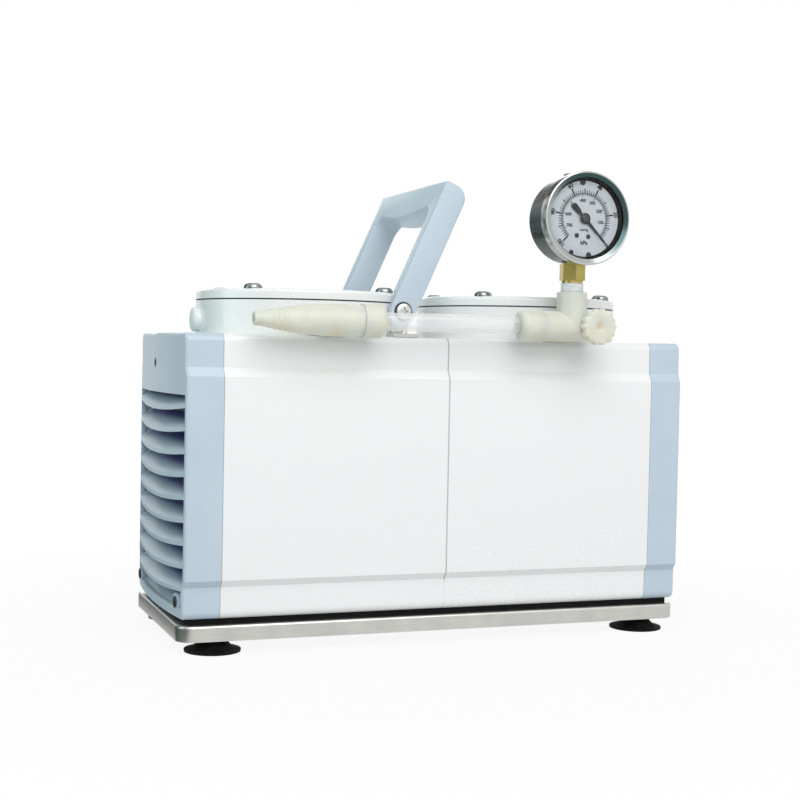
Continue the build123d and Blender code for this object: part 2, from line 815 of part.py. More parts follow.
# ---------------------------------------------------------------- cranks, rods and fans
for side, sign in sides:
    lift = -sign * throw
    with BuildPart() as eccentric:
        with BuildSketch(cross_plane(crank_x - journal_width / 2, 0, shaft_z + lift)):
            Circle(journal_radius)
        extrude(amount=journal_width)
        weight_x = crank_x + journal_width / 2
        with BuildSketch(cross_plane(weight_x)):
            Circle(counterweight_radius)
            with Locations((0, 2 * lift / throw * counterweight_radius / 2 + lift)):
                Rectangle(2 * counterweight_radius, 2 * counterweight_radius, mode=Mode.SUBTRACT)
            Circle(journal_hub_radius)
        extrude(amount=counterweight_width)
        with BuildSketch(cross_plane(crank_x - journal_width / 2)):
            Circle(shaft_radius + screw_fit)
        extrude(amount=journal_width + counterweight_width, mode=Mode.SUBTRACT)
        if side == "left":
            mirror(about=Plane.YZ, mode=Mode.REPLACE)
    eccentric.part.label = f"eccentric_{side}"
    export_step(eccentric.part, f"parts/eccentric_{side}.step")

    with BuildPart() as rod_bearing:
        with BuildSketch(cross_plane(sign * crank_x, 0, shaft_z + lift)):
            Circle(rod_bearing_radius)
            Circle(journal_radius + running_fit, mode=Mode.SUBTRACT)
        extrude(amount=journal_width / 2 - 0.5, both=True)
    rod_bearing.part.label = f"rod_bearing_{side}"
    export_step(rod_bearing.part, f"parts/rod_bearing_{side}.step")

    # the rod: a ring round its bearing, a tapering waisted stem, and the disc under the diaphragm
    with BuildPart() as rod:
        stem_top = body_top - shaft_z - rod_disc_thickness
        ring_radius = rod_bearing_radius + rod_wall
        with BuildSketch(cross_plane(sign * crank_x, 0, shaft_z + lift)):
            Circle(ring_radius)
            with BuildLine():
                Polyline(
                    (-ring_radius * 0.7, ring_radius * 0.5),
                    (-rod_web, stem_top),
                    (rod_web, stem_top),
                    (ring_radius * 0.7, ring_radius * 0.5),
                    close=True,
                )
            make_face()
        extrude(amount=journal_width / 2 - 0.5, both=True)
        for face_sign in (-1, 1):
            with BuildSketch(cross_plane(sign * crank_x + face_sign * rod_web / 2, 0, shaft_z + lift)):
                with BuildLine():
                    Polyline(
                        (-ring_radius * 0.45, ring_radius + 2),
                        (-rod_web / 2, stem_top - rod_web),
                        (rod_web / 2, stem_top - rod_web),
                        (ring_radius * 0.45, ring_radius + 2),
                        close=True,
                    )
                make_face()
            extrude(amount=face_sign * journal_width, mode=Mode.SUBTRACT)
        with BuildSketch(Plane.XY.offset(body_top + lift - rod_disc_thickness)):
            with Locations((sign * crank_x, 0)):
                Circle(rod_disc_radius)
        extrude(amount=rod_disc_thickness)
        with BuildSketch(cross_plane(sign * crank_x, 0, shaft_z + lift)):
            Circle(rod_bearing_radius + screw_fit)
        extrude(amount=journal_width, both=True, mode=Mode.SUBTRACT)
        with BuildSketch(Plane.XY.offset(body_top + lift - 3 * rod_disc_thickness)):
            with Locations((sign * crank_x, 0)):
                Circle(clamp_screw_radius + screw_fit)
        extrude(amount=3 * rod_disc_thickness, mode=Mode.SUBTRACT)
    rod.part.label = f"connecting_rod_{side}"
    export_step(rod.part, f"parts/connecting_rod_{side}.step")

    with BuildPart() as clamp:
        clamp_z = body_top + lift + diaphragm_thickness
        with BuildSketch(Plane.XY.offset(clamp_z)):
            with Locations((sign * crank_x, 0)):
                Circle(clamp_radius)
        extrude(amount=clamp_thickness)
        chamfer(clamp.faces().sort_by(Axis.Z)[-1].edges(), clamp_thickness / 2)
        with BuildSketch(Plane.XY.offset(clamp_z - 2.5 * rod_disc_thickness)):
            with Locations((sign * crank_x, 0)):
                Circle(clamp_screw_radius)
        extrude(amount=2.5 * rod_disc_thickness)
    clamp.part.label = f"diaphragm_clamp_{side}"
    export_step(clamp.part, f"parts/diaphragm_clamp_{side}.step")

    with BuildPart() as fan:
        with BuildSketch(cross_plane(fan_x - fan_plate)):
            Circle(fan_radius * 0.92)
        extrude(amount=fan_plate)
        with BuildSketch(cross_plane(fan_x)):
            Circle(fan_hub_radius)
            with PolarLocations((fan_radius + fan_hub_radius) / 2 + 2, blade_count):
                Rectangle(fan_radius - fan_hub_radius - 8, blade_thickness, rotation=12)
        extrude(amount=fan_width)
        with BuildSketch(cross_plane(fan_x - fan_plate)):
            Circle(shaft_radius + screw_fit)
        extrude(amount=fan_width + fan_plate, mode=Mode.SUBTRACT)
        if side == "left":
            mirror(about=Plane.YZ, mode=Mode.REPLACE)
    fan.part.label = f"cooling_fan_{side}"
    export_step(fan.part, f"parts/cooling_fan_{side}.step")


# ---------------------------------------------------------------- vacuum line
def line_plane(x):
    """Plane across the vacuum line at x."""
    return cross_plane(x, line_y, port_z)


def leg_and_spigot(x):
    """The leg from the line back to a head's port seat, with the spigot that screws into the port."""
    with BuildPart() as leg:
        with BuildSketch(front_plane(x, -port_seat, port_z)):
            Circle(leg_radius)
        extrude(amount=-line_y - port_seat)
        with BuildSketch(front_plane(x, leg_spigot - port_seat, port_z)):
            Circle(port_radius - screw_fit)
        extrude(amount=leg_spigot)
    return leg.part


nozzle_x = -head_x
left_end = nozzle_x + fitting_half
right_end = head_x - cross_reach
with BuildPart() as inlet_nozzle:
    with BuildSketch(front_plane(0, line_y, port_z)):
        with BuildLine():
            barb_pitch = (nozzle_root_x - nozzle_tip_x - nozzle_land) / barb_count
            barb_rise = (nozzle_root_radius - nozzle_tip_radius) / barb_count
            outline = [(nozzle_tip_x, 0), (nozzle_tip_x, nozzle_tip_radius)]
            for number in range(barb_count):
                barb_x = nozzle_tip_x + nozzle_land + number * barb_pitch
                barb_radius = nozzle_tip_radius + number * barb_rise
                outline.append((barb_x, barb_radius))
                outline.append((barb_x + barb_pitch, barb_radius + barb_rise + barb_lip))
            outline.append((nozzle_root_x, fitting_radius - 0.6))
            outline.append((nozzle_root_x + 1.5, fitting_radius))
            outline.append((left_end, fitting_radius))
            outline.append((left_end, 0))
            Polyline(*outline, close=True)
        make_face()
    revolve(axis=Axis((0, line_y, port_z), (1, 0, 0)))
    with BuildSketch(line_plane(left_end)):
        Circle(tube_radius - tube_wall - screw_fit)
    extrude(amount=tube_socket)
    add(leg_and_spigot(nozzle_x))
    with BuildSketch(line_plane(nozzle_tip_x)):
        Circle(fitting_bore)
    extrude(amount=left_end + tube_socket - nozzle_tip_x, mode=Mode.SUBTRACT)
    with BuildSketch(front_plane(nozzle_x, leg_spigot - port_seat, port_z)):
        Circle(fitting_bore)
    extrude(amount=leg_spigot - port_seat - line_y, mode=Mode.SUBTRACT)
inlet_nozzle.part.label = "inlet_nozzle"
export_step(inlet_nozzle.part, "parts/inlet_nozzle.step")

# union nuts, round-nosed where the tube comes out of them
with BuildPart() as tube_nuts:
    for body_x, direction in ((left_end, 1), (right_end, -1)):
        with BuildSketch(line_plane(body_x)):
            Circle(nut_radius)
        extrude(amount=direction * nut_length)
    noses = tube_nuts.faces().filter_by(Plane.YZ).sort_by(Axis.X)[1:3]
    fillet(noses.edges(), nut_round)
    with BuildSketch(line_plane(left_end)):
        Circle(tube_radius + screw_fit)
    extrude(amount=right_end - left_end, mode=Mode.SUBTRACT)
tube_nuts.part.label = "tube_nuts"
export_step(tube_nuts.part, "parts/tube_nuts.step")

with BuildPart() as link_tube:
    with BuildSketch(line_plane(left_end)):
        Circle(tube_radius)
        Circle(tube_radius - tube_wall, mode=Mode.SUBTRACT)
    extrude(amount=right_end - left_end)
link_tube.part.label = "link_tube"
export_step(link_tube.part, "parts/link_tube.step")

with BuildPart() as gauge_cross:
    with BuildSketch(line_plane(right_end)):
        Circle(fitting_radius)
    extrude(amount=cross_reach + leg_radius)
    with BuildSketch(line_plane(head_x)):
        Circle(leg_radius)
    extrude(amount=regulator_x - head_x)
    with BuildSketch(line_plane(right_end - tube_socket)):
        Circle(tube_radius - tube_wall - screw_fit)
    extrude(amount=tube_socket)
    with BuildSketch(Plane.XY.offset(port_z)):
        with Locations((head_x, line_y)):
            Circle(cross_leg_radius)
    extrude(amount=cross_top_z - port_z)
    chamfer(gauge_cross.faces().sort_by(Axis.Z)[-1].edges(), 0.6)
    add(leg_and_spigot(head_x))
    with BuildSketch(front_plane(regulator_x, regulator_back, port_z)):
        Circle(regulator_radius)
    extrude(amount=regulator_back - regulator_front)
    # bores: along the line, up to the gauge, back to the head, and for the regulator's spindle
    with BuildSketch(line_plane(right_end - tube_socket)):
        Circle(fitting_bore)
    extrude(amount=regulator_x - right_end + tube_socket, mode=Mode.SUBTRACT)
    with BuildSketch(Plane.XY.offset(port_z)):
        with Locations((head_x, line_y)):
            Circle(fitting_bore)
    extrude(amount=cross_top_z - port_z, mode=Mode.SUBTRACT)
    with BuildSketch(Plane.XY.offset(tape_low_z)):
        with Locations((head_x, line_y)):
            Circle(stem_thread_radius + tape_thickness + 2 * screw_fit)
    extrude(amount=cross_top_z - tape_low_z, mode=Mode.SUBTRACT)
    with BuildSketch(front_plane(head_x, leg_spigot - port_seat, port_z)):
        Circle(fitting_bore)
    extrude(amount=leg_spigot - port_seat - line_y, mode=Mode.SUBTRACT)
    with BuildSketch(front_plane(regulator_x, line_y + 2, port_z)):
        Circle(spindle_radius + running_fit)
    extrude(amount=line_y + 2 - regulator_front, mode=Mode.SUBTRACT)
gauge_cross.part.label = "gauge_cross"
export_step(gauge_cross.part, "parts/gauge_cross.step")

with BuildPart() as regulator_knob:
    knob_back = regulator_front - free_gap
    with BuildSketch(front_plane(regulator_x, knob_back, port_z)):
        Circle(knob_radius)
        with PolarLocations(knob_radius + flute_radius / 3, knob_flutes):
            Circle(flute_radius, mode=Mode.SUBTRACT)
    extrude(amount=knob_length)
    with BuildSketch(front_plane(regulator_x, knob_back - knob_length, port_z)):
        Circle(knob_radius * 0.42)
        Circle(knob_radius * 0.28, mode=Mode.SUBTRACT)
    extrude(amount=-0.8, mode=Mode.SUBTRACT)
    with BuildSketch(front_plane(regulator_x, line_y + 1, port_z)):
        Circle(spindle_radius)
    extrude(amount=line_y + 1 - knob_back)
regulator_knob.part.label = "regulator_knob"
export_step(regulator_knob.part, "parts/regulator_knob.step")


# ---------------------------------------------------------------- vacuum gauge
def gauge_plane(y):
    """Upright plane through the gauge's axis at y, facing the front."""
    return front_plane(head_x, y, gauge_z)


gauge_back = gauge_front + gauge_depth
dial_y = gauge_front + dial_setback
half_hex = stem_flats / 2 / cos(radians(30))

with BuildPart() as thread_tape:
    with BuildSketch(Plane.XY.offset(tape_low_z)):
        with Locations((head_x, line_y)):
            Circle(stem_thread_radius + screw_fit + tape_thickness)
            Circle(stem_thread_radius + screw_fit, mode=Mode.SUBTRACT)
    extrude(amount=tape_top_z - tape_low_z)
thread_tape.part.label = "thread_tape"
export_step(thread_tape.part, "parts/thread_tape.step")

# the stem: thread, hexagon, a neck through the case, and the block that carries tube and movement
with BuildPart() as gauge_stem:
    hex_top = gauge_z - can_radius - free_gap
    with BuildSketch(Plane.XY.offset(tape_low_z)):
        with Locations((head_x, line_y)):
            Circle(stem_thread_radius)
    extrude(amount=stem_hex_z - tape_low_z)
    with BuildSketch(Plane.XY.offset(stem_hex_z)):
        with Locations((head_x, line_y)):
            RegularPolygon(half_hex, 6, rotation=stem_turn)
    extrude(amount=hex_top - stem_hex_z)
    chamfer(gauge_stem.faces().filter_by(Plane.XY).group_by(Axis.Z)[1].edges().filter_by(GeomType.LINE), 0.3)
    with BuildSketch(Plane.XY.offset(hex_top)):
        with Locations((head_x, line_y)):
            Circle(stem_neck_radius)
    extrude(amount=gauge_z - coil_radius + coil_width / 2 - hex_top)
    with BuildSketch(Plane.XY.offset(tape_low_z)):
        with Locations((head_x, line_y)):
            Circle(fitting_bore / 2)
    extrude(amount=gauge_z - coil_radius - tape_low_z, mode=Mode.SUBTRACT)
gauge_stem.part.label = "gauge_stem"
export_step(gauge_stem.part, "parts/gauge_stem.step")

# the drawn case: open to the front, its rear edge rounded inside and out
with BuildPart() as case_room:
    with BuildSketch(gauge_plane(gauge_back - can_wall)):
        Circle(can_radius - can_wall)
    extrude(amount=gauge_depth)
    fillet(case_room.faces().sort_by(Axis.Y)[-1].edges(), can_round - can_wall)
with BuildPart() as gauge_case:
    with BuildSketch(gauge_plane(gauge_back)):
        Circle(can_radius)
    extrude(amount=gauge_depth - bezel_length / 2)
    fillet(gauge_case.faces().sort_by(Axis.Y)[-1].edges(), can_round)
    add(case_room.part, mode=Mode.SUBTRACT)
    with BuildSketch(Plane.XY.offset(gauge_z - 2 * can_radius)):
        with Locations((head_x, line_y)):
            Circle(stem_neck_radius + screw_fit)
    extrude(amount=2 * can_radius, mode=Mode.SUBTRACT)
    with BuildSketch(Plane.XY.offset(gauge_z)):
        with Locations((head_x, plug_y)):
            Circle(plug_radius * 0.6 + screw_fit)
    extrude(amount=2 * can_radius, mode=Mode.SUBTRACT)
gauge_case.part.label = "gauge_case"
export_step(gauge_case.part, "parts/gauge_case.step")

with BuildPart() as gauge_plug:
    with BuildSketch(Plane.XY.offset(gauge_z + can_radius + free_gap)):
        with Locations((head_x, plug_y)):
            Circle(plug_radius)
    extrude(amount=plug_height)
    fillet(gauge_plug.faces().sort_by(Axis.Z)[-1].edges(), plug_height * 0.45)
    with BuildSketch(Plane.XY.offset(gauge_z + can_radius - 3 * can_wall)):
        with Locations((head_x, plug_y)):
            Circle(plug_radius * 0.6)
    extrude(amount=3 * can_wall + free_gap)
gauge_plug.part.label = "gauge_plug"
export_step(gauge_plug.part, "parts/gauge_plug.step")

with BuildPart() as gauge_bezel:
    with BuildSketch(gauge_plane(gauge_front)):
        Circle(bezel_radius)
    extrude(amount=-bezel_length)
    fillet(gauge_bezel.faces().sort_by(Axis.Y)[0].edges(), 1.0)
    with BuildSketch(gauge_plane(gauge_front)):
        Circle(bezel_inner)
    extrude(amount=-bezel_length, mode=Mode.SUBTRACT)
    with BuildSketch(gauge_plane(gauge_front + window_setback)):
        Circle(can_radius + screw_fit)
    extrude(amount=-bezel_length, mode=Mode.SUBTRACT)
gauge_bezel.part.label = "gauge_bezel"
export_step(gauge_bezel.part, "parts/gauge_bezel.step")

with BuildPart() as gauge_window:
    with BuildSketch(gauge_plane(gauge_front + window_setback)):
        Circle(can_radius - screw_fit)
    extrude(amount=-window_thickness)
gauge_window.part.label = "gauge_window"
export_step(gauge_window.part, "parts/gauge_window.step")

with BuildPart() as gauge_dial:
    with BuildSketch(gauge_plane(dial_y)):
        Circle(can_radius - can_wall - screw_fit)
        Circle(arbor_radius + free_gap, mode=Mode.SUBTRACT)
    extrude(amount=-dial_thickness)
gauge_dial.part.label = "gauge_dial"
export_step(gauge_dial.part, "parts/gauge_dial.step")

# the pointer at rest, at the dial's zero mark, with its arbor back to the movement
with BuildPart() as gauge_pointer:
    pointer_y = dial_y - pointer_gap
    with BuildSketch(gauge_plane(pointer_y)):
        Circle(pointer_hub_radius)
        with BuildLine(Plane((0, 0), x_dir=(cos(radians(-45)), sin(radians(-45)), 0))):
            Polyline(
                (pointer_tip, 0),
                (0, 0.75),
                (-pointer_tail * 0.35, 0.75),
                (-pointer_tail, 1.5),
                (-pointer_tail, -1.5),
                (-pointer_tail * 0.35, -0.75),
                (0, -0.75),
                close=True,
            )
        make_face()
    extrude(amount=pointer_thickness)
    with BuildSketch(gauge_plane(pointer_y - pointer_thickness)):
        Circle(pointer_hub_radius * 0.72)
    extrude(amount=0.4)
    with BuildSketch(gauge_plane(movement_y + 3 * movement_plate)):
        Circle(arbor_radius)
    extrude(amount=movement_y + 3 * movement_plate - pointer_y)
gauge_pointer.part.label = "gauge_pointer"
export_step(gauge_pointer.part, "parts/gauge_pointer.step")

# the bourdon tube: a flat tube bent round from the stem's block, and the plate that bears the arbor
with BuildPart() as gauge_movement:
    with BuildSketch(gauge_plane(coil_y - coil_thickness / 2)):
        Circle(coil_radius + coil_width / 2 - free_gap)
        Circle(coil_radius - coil_width / 2 + free_gap, mode=Mode.SUBTRACT)
        with Locations((coil_radius, -coil_radius)):
            Rectangle(2 * coil_radius - 2 * stem_neck_radius + 6, 2 * coil_radius, mode=Mode.SUBTRACT)
        with Locations((0, -coil_radius)):
            Rectangle(2 * (stem_neck_radius + free_gap), coil_radius, mode=Mode.SUBTRACT)
    extrude(amount=-coil_thickness)
    with BuildSketch(gauge_plane(movement_y)):
        SlotCenterToCenter(coil_radius, 2 * stem_neck_radius, rotation=90)
        Circle(arbor_radius + running_fit, mode=Mode.SUBTRACT)
    extrude(amount=-movement_plate)
gauge_movement.part.label = "gauge_movement"
export_step(gauge_movement.part, "parts/gauge_movement.step")


# ---------------------------------------------------------------- carrying handle
def handle_plane(y):
    """Upright plane at y with its origin on the pivot and its y axis up the leaning arm."""
    lean = radians(handle_lean)
    return Plane(origin=(pivot_x, y, pivot_z), x_dir=(cos(lean), 0, -sin(lean)), z_dir=(0, -1, 0))


arm_half = arm_width / 2
with BuildPart() as carry_handle:
    # outline of the arm from the side: round at its foot, with a round rear corner at the grip
    with BuildSketch(handle_plane(-handle_half)):
        Circle(arm_half)
        with Locations((0, handle_reach / 2)):
            Rectangle(arm_width, handle_reach)
    extrude(amount=-2 * handle_half)
    grip_edge = carry_handle.edges().filter_by(Axis.Y).sort_by_distance(
        handle_plane(0).from_local_coords((arm_half, handle_reach, 0))
    )[0]
    fillet(grip_edge, handle_corner)
    # the opening between the arms, bellied down in the middle of the grip
    inner_half = handle_half - arm_depth
    grip_low = handle_reach - grip_height
    opening_plane = Plane(
        origin=handle_plane(0).origin - handle_plane(0).x_dir * arm_width,
        x_dir=(0, 1, 0),
        z_dir=handle_plane(0).x_dir,
    )
    with BuildSketch(opening_plane):
        with BuildLine():
            Polyline(
                (inner_half, grip_low),
                (inner_half, -arm_width),
                (-inner_half, -arm_width),
                (-inner_half, grip_low),
            )
            ThreePointArc((-inner_half, grip_low), (0, grip_low - grip_belly), (inner_half, grip_low))
        make_face()
    extrude(amount=2 * arm_width, mode=Mode.SUBTRACT)
    # thin tabs at the feet, beside the pump heads
    tab_half = handle_half - foot_tab
    with BuildSketch(opening_plane):
        with Locations((0, foot_tab_length)):
            Rectangle(2 * tab_half, foot_tab_length + arm_width, align=(Align.CENTER, Align.MAX))
    extrude(amount=2 * arm_width, mode=Mode.SUBTRACT)
    # the moulding is a channel, open to the inside of the bail
    with BuildSketch(handle_plane(arm_wall - handle_half)):
        with BuildLine():
            Polyline(
                (arm_wall - arm_half, foot_tab_length),
                (arm_half - arm_wall, foot_tab_length),
                (arm_half - arm_wall, handle_reach - handle_corner),
                (arm_half - handle_corner, handle_reach - arm_wall),
                (arm_wall - arm_half, handle_reach - arm_wall),
                close=True,
            )
        make_face()
    extrude(amount=2 * (arm_wall - handle_half), mode=Mode.SUBTRACT)
    with BuildSketch(handle_plane(-handle_half)):
        Circle(pivot_radius + running_fit)
    extrude(amount=-2 * handle_half, mode=Mode.SUBTRACT)
carry_handle.part.label = "carry_handle"
export_step(carry_handle.part, "parts/carry_handle.step")

# angle brackets: an ear inside each foot and a flange out along the housing's top
ear_y = handle_half - foot_tab - free_gap
with BuildPart() as handle_brackets:
    for sign in (-1, 1):
        with BuildSketch(Plane(origin=(pivot_x, sign * ear_y, pivot_z), x_dir=(1, 0, 0), z_dir=(0, -1, 0))):
            Circle(bracket_ear / 2)
            with Locations((0, (body_top - pivot_z) / 2)):
                Rectangle(bracket_ear, pivot_z - body_top)
            Circle(pivot_radius + screw_fit, mode=Mode.SUBTRACT)
        extrude(amount=sign * bracket_sheet)
        with BuildSketch(Plane.XY.offset(body_top)):
            with Locations((pivot_x, sign * (ear_y + bracket_flange / 2))):
                Rectangle(bracket_width, bracket_flange)
            with Locations((pivot_x, sign * (ear_y + bracket_flange / 2))):
                Circle(bracket_screw_radius + screw_fit, mode=Mode.SUBTRACT)
        extrude(amount=bracket_sheet)
handle_brackets.part.label = "handle_brackets"
export_step(handle_brackets.part, "parts/handle_brackets.step")

with BuildPart() as handle_screws:
    for sign in (-1, 1):
        outside = Plane(
            origin=(pivot_x, sign * (handle_half + free_gap), pivot_z), x_dir=(1, 0, 0), z_dir=(0, sign, 0)
        )
        with BuildSketch(outside):
            Circle(pivot_head_radius)
        extrude(amount=pivot_head_height)
        with BuildSketch(outside):
            Circle(pivot_radius)
        extrude(amount=-(handle_half + free_gap - ear_y + bracket_sheet))
        with BuildSketch(Plane.XY.offset(body_top + bracket_sheet)):
            with Locations((pivot_x, sign * (ear_y + bracket_flange / 2))):
                Circle(bracket_screw_head)
        extrude(amount=bracket_screw_radius)
        with BuildSketch(Plane.XY.offset(body_top + bracket_sheet)):
            with Locations((pivot_x, sign * (ear_y + bracket_flange / 2))):
                Circle(bracket_screw_radius)
        extrude(amount=-bracket_sheet)
    heads = handle_screws.faces().filter_by(Plane.XZ).group_by(Axis.Y)
    fillet(heads[0].edges() + heads[-1].edges(), pivot_head_height * 0.6)
handle_screws.part.label = "handle_screws"
export_step(handle_screws.part, "parts/handle_screws.step")

# ---------------------------------------------------------------- mains inlet and switch
rocker_z = inlet_z + inlet_height / 2 - rocker_height / 2 - 4
socket_z = inlet_z - inlet_height / 2 + socket_height / 2 + 4
pivot_y = band_half + inlet_flange - 1
with BuildPart() as power_inlet:
    with BuildSketch(front_plane(inlet_x, band_half + inlet_flange, inlet_z)):
        RectangleRounded(inlet_width + 8, inlet_height + 8, 3)
    extrude(amount=inlet_flange)
    with BuildSketch(front_plane(inlet_x, band_half, inlet_z)):
        RectangleRounded(inlet_width, inlet_height, 2)
    extrude(amount=socket_depth + 4)
    # socket with three flat blades, and the well that the rocker turns in
    with BuildSketch(front_plane(inlet_x, band_half + inlet_flange, socket_z)):
        with BuildLine():
            Polyline(
                (-socket_width / 2, socket_height / 2 - 4),
                (-socket_width / 2 + 4, socket_height / 2),
                (socket_width / 2 - 4, socket_height / 2),
                (socket_width / 2, socket_height / 2 - 4),
                (socket_width / 2, -socket_height / 2),
                (-socket_width / 2, -socket_height / 2),
                close=True,
            )
        make_face()
    extrude(amount=socket_depth, mode=Mode.SUBTRACT)
    with BuildSketch(front_plane(inlet_x, band_half + inlet_flange, rocker_z)):
        Rectangle(rocker_width + 2 * free_gap, rocker_height + 4 * free_gap)
    extrude(amount=socket_depth / 2, mode=Mode.SUBTRACT)
    with BuildSketch(front_plane(inlet_x, band_half + inlet_flange - 3, socket_z)):
        with Locations((-7, -2), (0, 2), (7, -2)):
            Rectangle(2, 4)
    extrude(amount=socket_depth - 3 + 1)
power_inlet.part.label = "power_inlet"
export_step(power_inlet.part, "parts/power_inlet.step")

with BuildPart() as switch_rocker:
    rocker_plane = Plane(
        origin=(inlet_x, pivot_y, rocker_z),
        x_dir=(0, cos(radians(rocker_tilt)), sin(radians(rocker_tilt))),
        z_dir=(1, 0, 0),
    )
    with BuildSketch(rocker_plane):
        with BuildLine():
            half = rocker_height / 2
            ThreePointArc((2.2, half), (1.2, 0), (2.2, -half))
            Polyline((2.2, -half), (-1, -half), (-3, 0), (-1, half), (2.2, half))
        make_face()
    extrude(amount=rocker_width / 2, both=True)
switch_rocker.part.label = "switch_rocker"
export_step(switch_rocker.part, "parts/switch_rocker.step")
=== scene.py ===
# %% [markdown]
# # A twin-head diaphragm vacuum pump
# The pump's solids come from its construction model, already in place and in metres. This lesson gives them
# their finishes, makes the small parts that need fine detail, and sets the lights and the camera.

# %% Load the frame
import json
from math import cos, pi, radians, sin

import bmesh
import bpy
from mathutils import Matrix, Vector


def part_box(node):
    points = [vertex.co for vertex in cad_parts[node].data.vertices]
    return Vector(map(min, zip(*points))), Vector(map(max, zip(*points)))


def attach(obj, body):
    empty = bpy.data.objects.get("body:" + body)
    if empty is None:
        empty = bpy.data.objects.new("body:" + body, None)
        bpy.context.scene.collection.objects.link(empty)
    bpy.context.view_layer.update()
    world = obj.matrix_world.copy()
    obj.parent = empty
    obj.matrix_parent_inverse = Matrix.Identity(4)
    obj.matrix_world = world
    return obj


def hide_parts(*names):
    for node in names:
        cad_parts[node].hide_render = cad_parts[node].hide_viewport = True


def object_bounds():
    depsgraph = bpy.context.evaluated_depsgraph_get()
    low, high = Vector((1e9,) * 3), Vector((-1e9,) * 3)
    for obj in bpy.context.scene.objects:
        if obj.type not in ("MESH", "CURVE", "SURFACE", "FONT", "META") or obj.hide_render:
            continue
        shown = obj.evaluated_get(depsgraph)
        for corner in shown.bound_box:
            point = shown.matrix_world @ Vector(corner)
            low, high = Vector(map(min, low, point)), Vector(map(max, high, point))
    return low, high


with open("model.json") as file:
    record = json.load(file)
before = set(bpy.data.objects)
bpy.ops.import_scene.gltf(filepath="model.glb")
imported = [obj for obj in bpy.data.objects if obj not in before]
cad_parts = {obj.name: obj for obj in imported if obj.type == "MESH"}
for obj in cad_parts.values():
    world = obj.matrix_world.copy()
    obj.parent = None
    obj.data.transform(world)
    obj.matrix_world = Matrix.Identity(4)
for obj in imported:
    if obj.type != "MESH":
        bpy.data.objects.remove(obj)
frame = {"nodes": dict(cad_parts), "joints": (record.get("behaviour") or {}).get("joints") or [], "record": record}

mm = 0.001
scene = bpy.context.scene
record = frame["record"]
joints = {joint["name"]: joint for joint in frame["joints"]}
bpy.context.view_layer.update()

# %% [markdown]
# ## Shader maths as expressions
# A finish is a sum of small effects: a colour that drifts, a grain, a polish that wears. Adding and linking
# each Math node by hand would take a page per finish. Written as Python expressions they stay readable, so a
# small class wraps one socket and lets +, - and * add the nodes, in either order.


# %% One socket, wrapped
class Wire:
    """One socket of a material's nodes. Sums and products on it add Math nodes."""

    def __init__(self, tree, socket=None):
        self.tree = tree
        self.socket = socket

    def node(self, kind, settings=None, values=None, out=0):
        """Add a node: its settings first, then the values or links of its sockets."""
        made = self.tree.nodes.new(kind)
        for name, value in (settings or {}).items():
            if name == "stops":
                stops = made.color_ramp.elements
                while len(stops) < len(value):
                    stops.new(1.0)
                for element, (position, colour) in zip(stops, value):
                    element.position = position
                    element.color = (*colour, 1.0)
            else:
                setattr(made, name, value)
        for name, value in (values or {}).items():
            if isinstance(value, Wire):
                self.tree.links.new(value.socket, made.inputs[name])
            else:
                made.inputs[name].default_value = value
        return Wire(self.tree, made.outputs[out])

    def math(self, operation, first, second):
        return self.node("ShaderNodeMath", {"operation": operation}, {0: first, 1: second})

    def __add__(self, other):
        return self.math("ADD", self, other)

    def __sub__(self, other):
        return self.math("SUBTRACT", self, other)

    def __rsub__(self, other):
        return self.math("SUBTRACT", other, self)

    def __mul__(self, other):
        return self.math("MULTIPLY", self, other)

    __radd__ = __add__
    __rmul__ = __mul__


print("socket maths ready")

# %% [markdown]
# ## What every finish starts from
# Each finish is one Principled shader. Numbers that are the same all over go straight on its sockets, and
# only colour, roughness, alpha and the bump vary. Noise could follow each mesh's own unwrapping, but it would
# change scale from piece to piece. Measured in metres on the object, a grain keeps its real size everywhere.


# %% Start a finish
def start(name, **sockets):
    """A new material with its shader's even values set. Returns the material, its shader and a Wire."""
    material = bpy.data.materials.new(name)
    material.use_nodes = True
    tree = material.node_tree
    shader = tree.nodes["Principled BSDF"]
    for socket, value in sockets.items():
        shader.inputs[socket.replace("_", " ")].default_value = value
    return material, shader, Wire(tree)


EVEN = (1.0, 1.0, 1.0)


def place(wire, stretch=EVEN):
    """The point on the object in metres, stretched so that a grain can run one way."""
    point = wire.node("ShaderNodeTexCoord", out="Object")
    return wire.node("ShaderNodeMapping", {}, {"Vector": point, "Scale": stretch})


def noise(wire, size, detail=2.0, stretch=EVEN):
    """Smooth noise from 0 to 1, with features of that size in metres."""
    values = {"Vector": place(wire, stretch), "Scale": 1.0 / size, "Detail": detail}
    return wire.node("ShaderNodeTexNoise", {}, values, out="Fac")


print("noise ready, in metres on the object")


# %% Colours, links and bumps
def between(wire, fac, low, high):
    """A colour that runs from low to high as fac goes from 0 to 1."""
    settings = {"stops": [(0.3, low), (0.7, high)]}
    return wire.node("ShaderNodeValToRGB", settings, {"Fac": fac}, out="Color")


def feed(wire, shader, **sockets):
    """Link what varies over the surface to the shader."""
    for socket, value in sockets.items():
        wire.tree.links.new(value.socket, shader.inputs[socket.replace("_", " ")])


def bump(wire, height, depth, strength=1.0):
    """A normal that rises and falls by depth metres with height from 0 to 1."""
    values = {"Height": height, "Distance": depth, "Strength": strength}
    return wire.node("ShaderNodeBump", {}, values, out="Normal")


print("colours and bumps ready")


# %% Masks from places on the pump
def off_middle(wire, axis):
    """How far a point lies from the pump's origin along one axis, in metres, whichever the side."""
    point = wire.node("ShaderNodeTexCoord", out="Object")
    split = wire.node("ShaderNodeSeparateXYZ", {}, {"Vector": point}, out=axis)
    return wire.node("ShaderNodeMath", {"operation": "ABSOLUTE"}, {0: split})


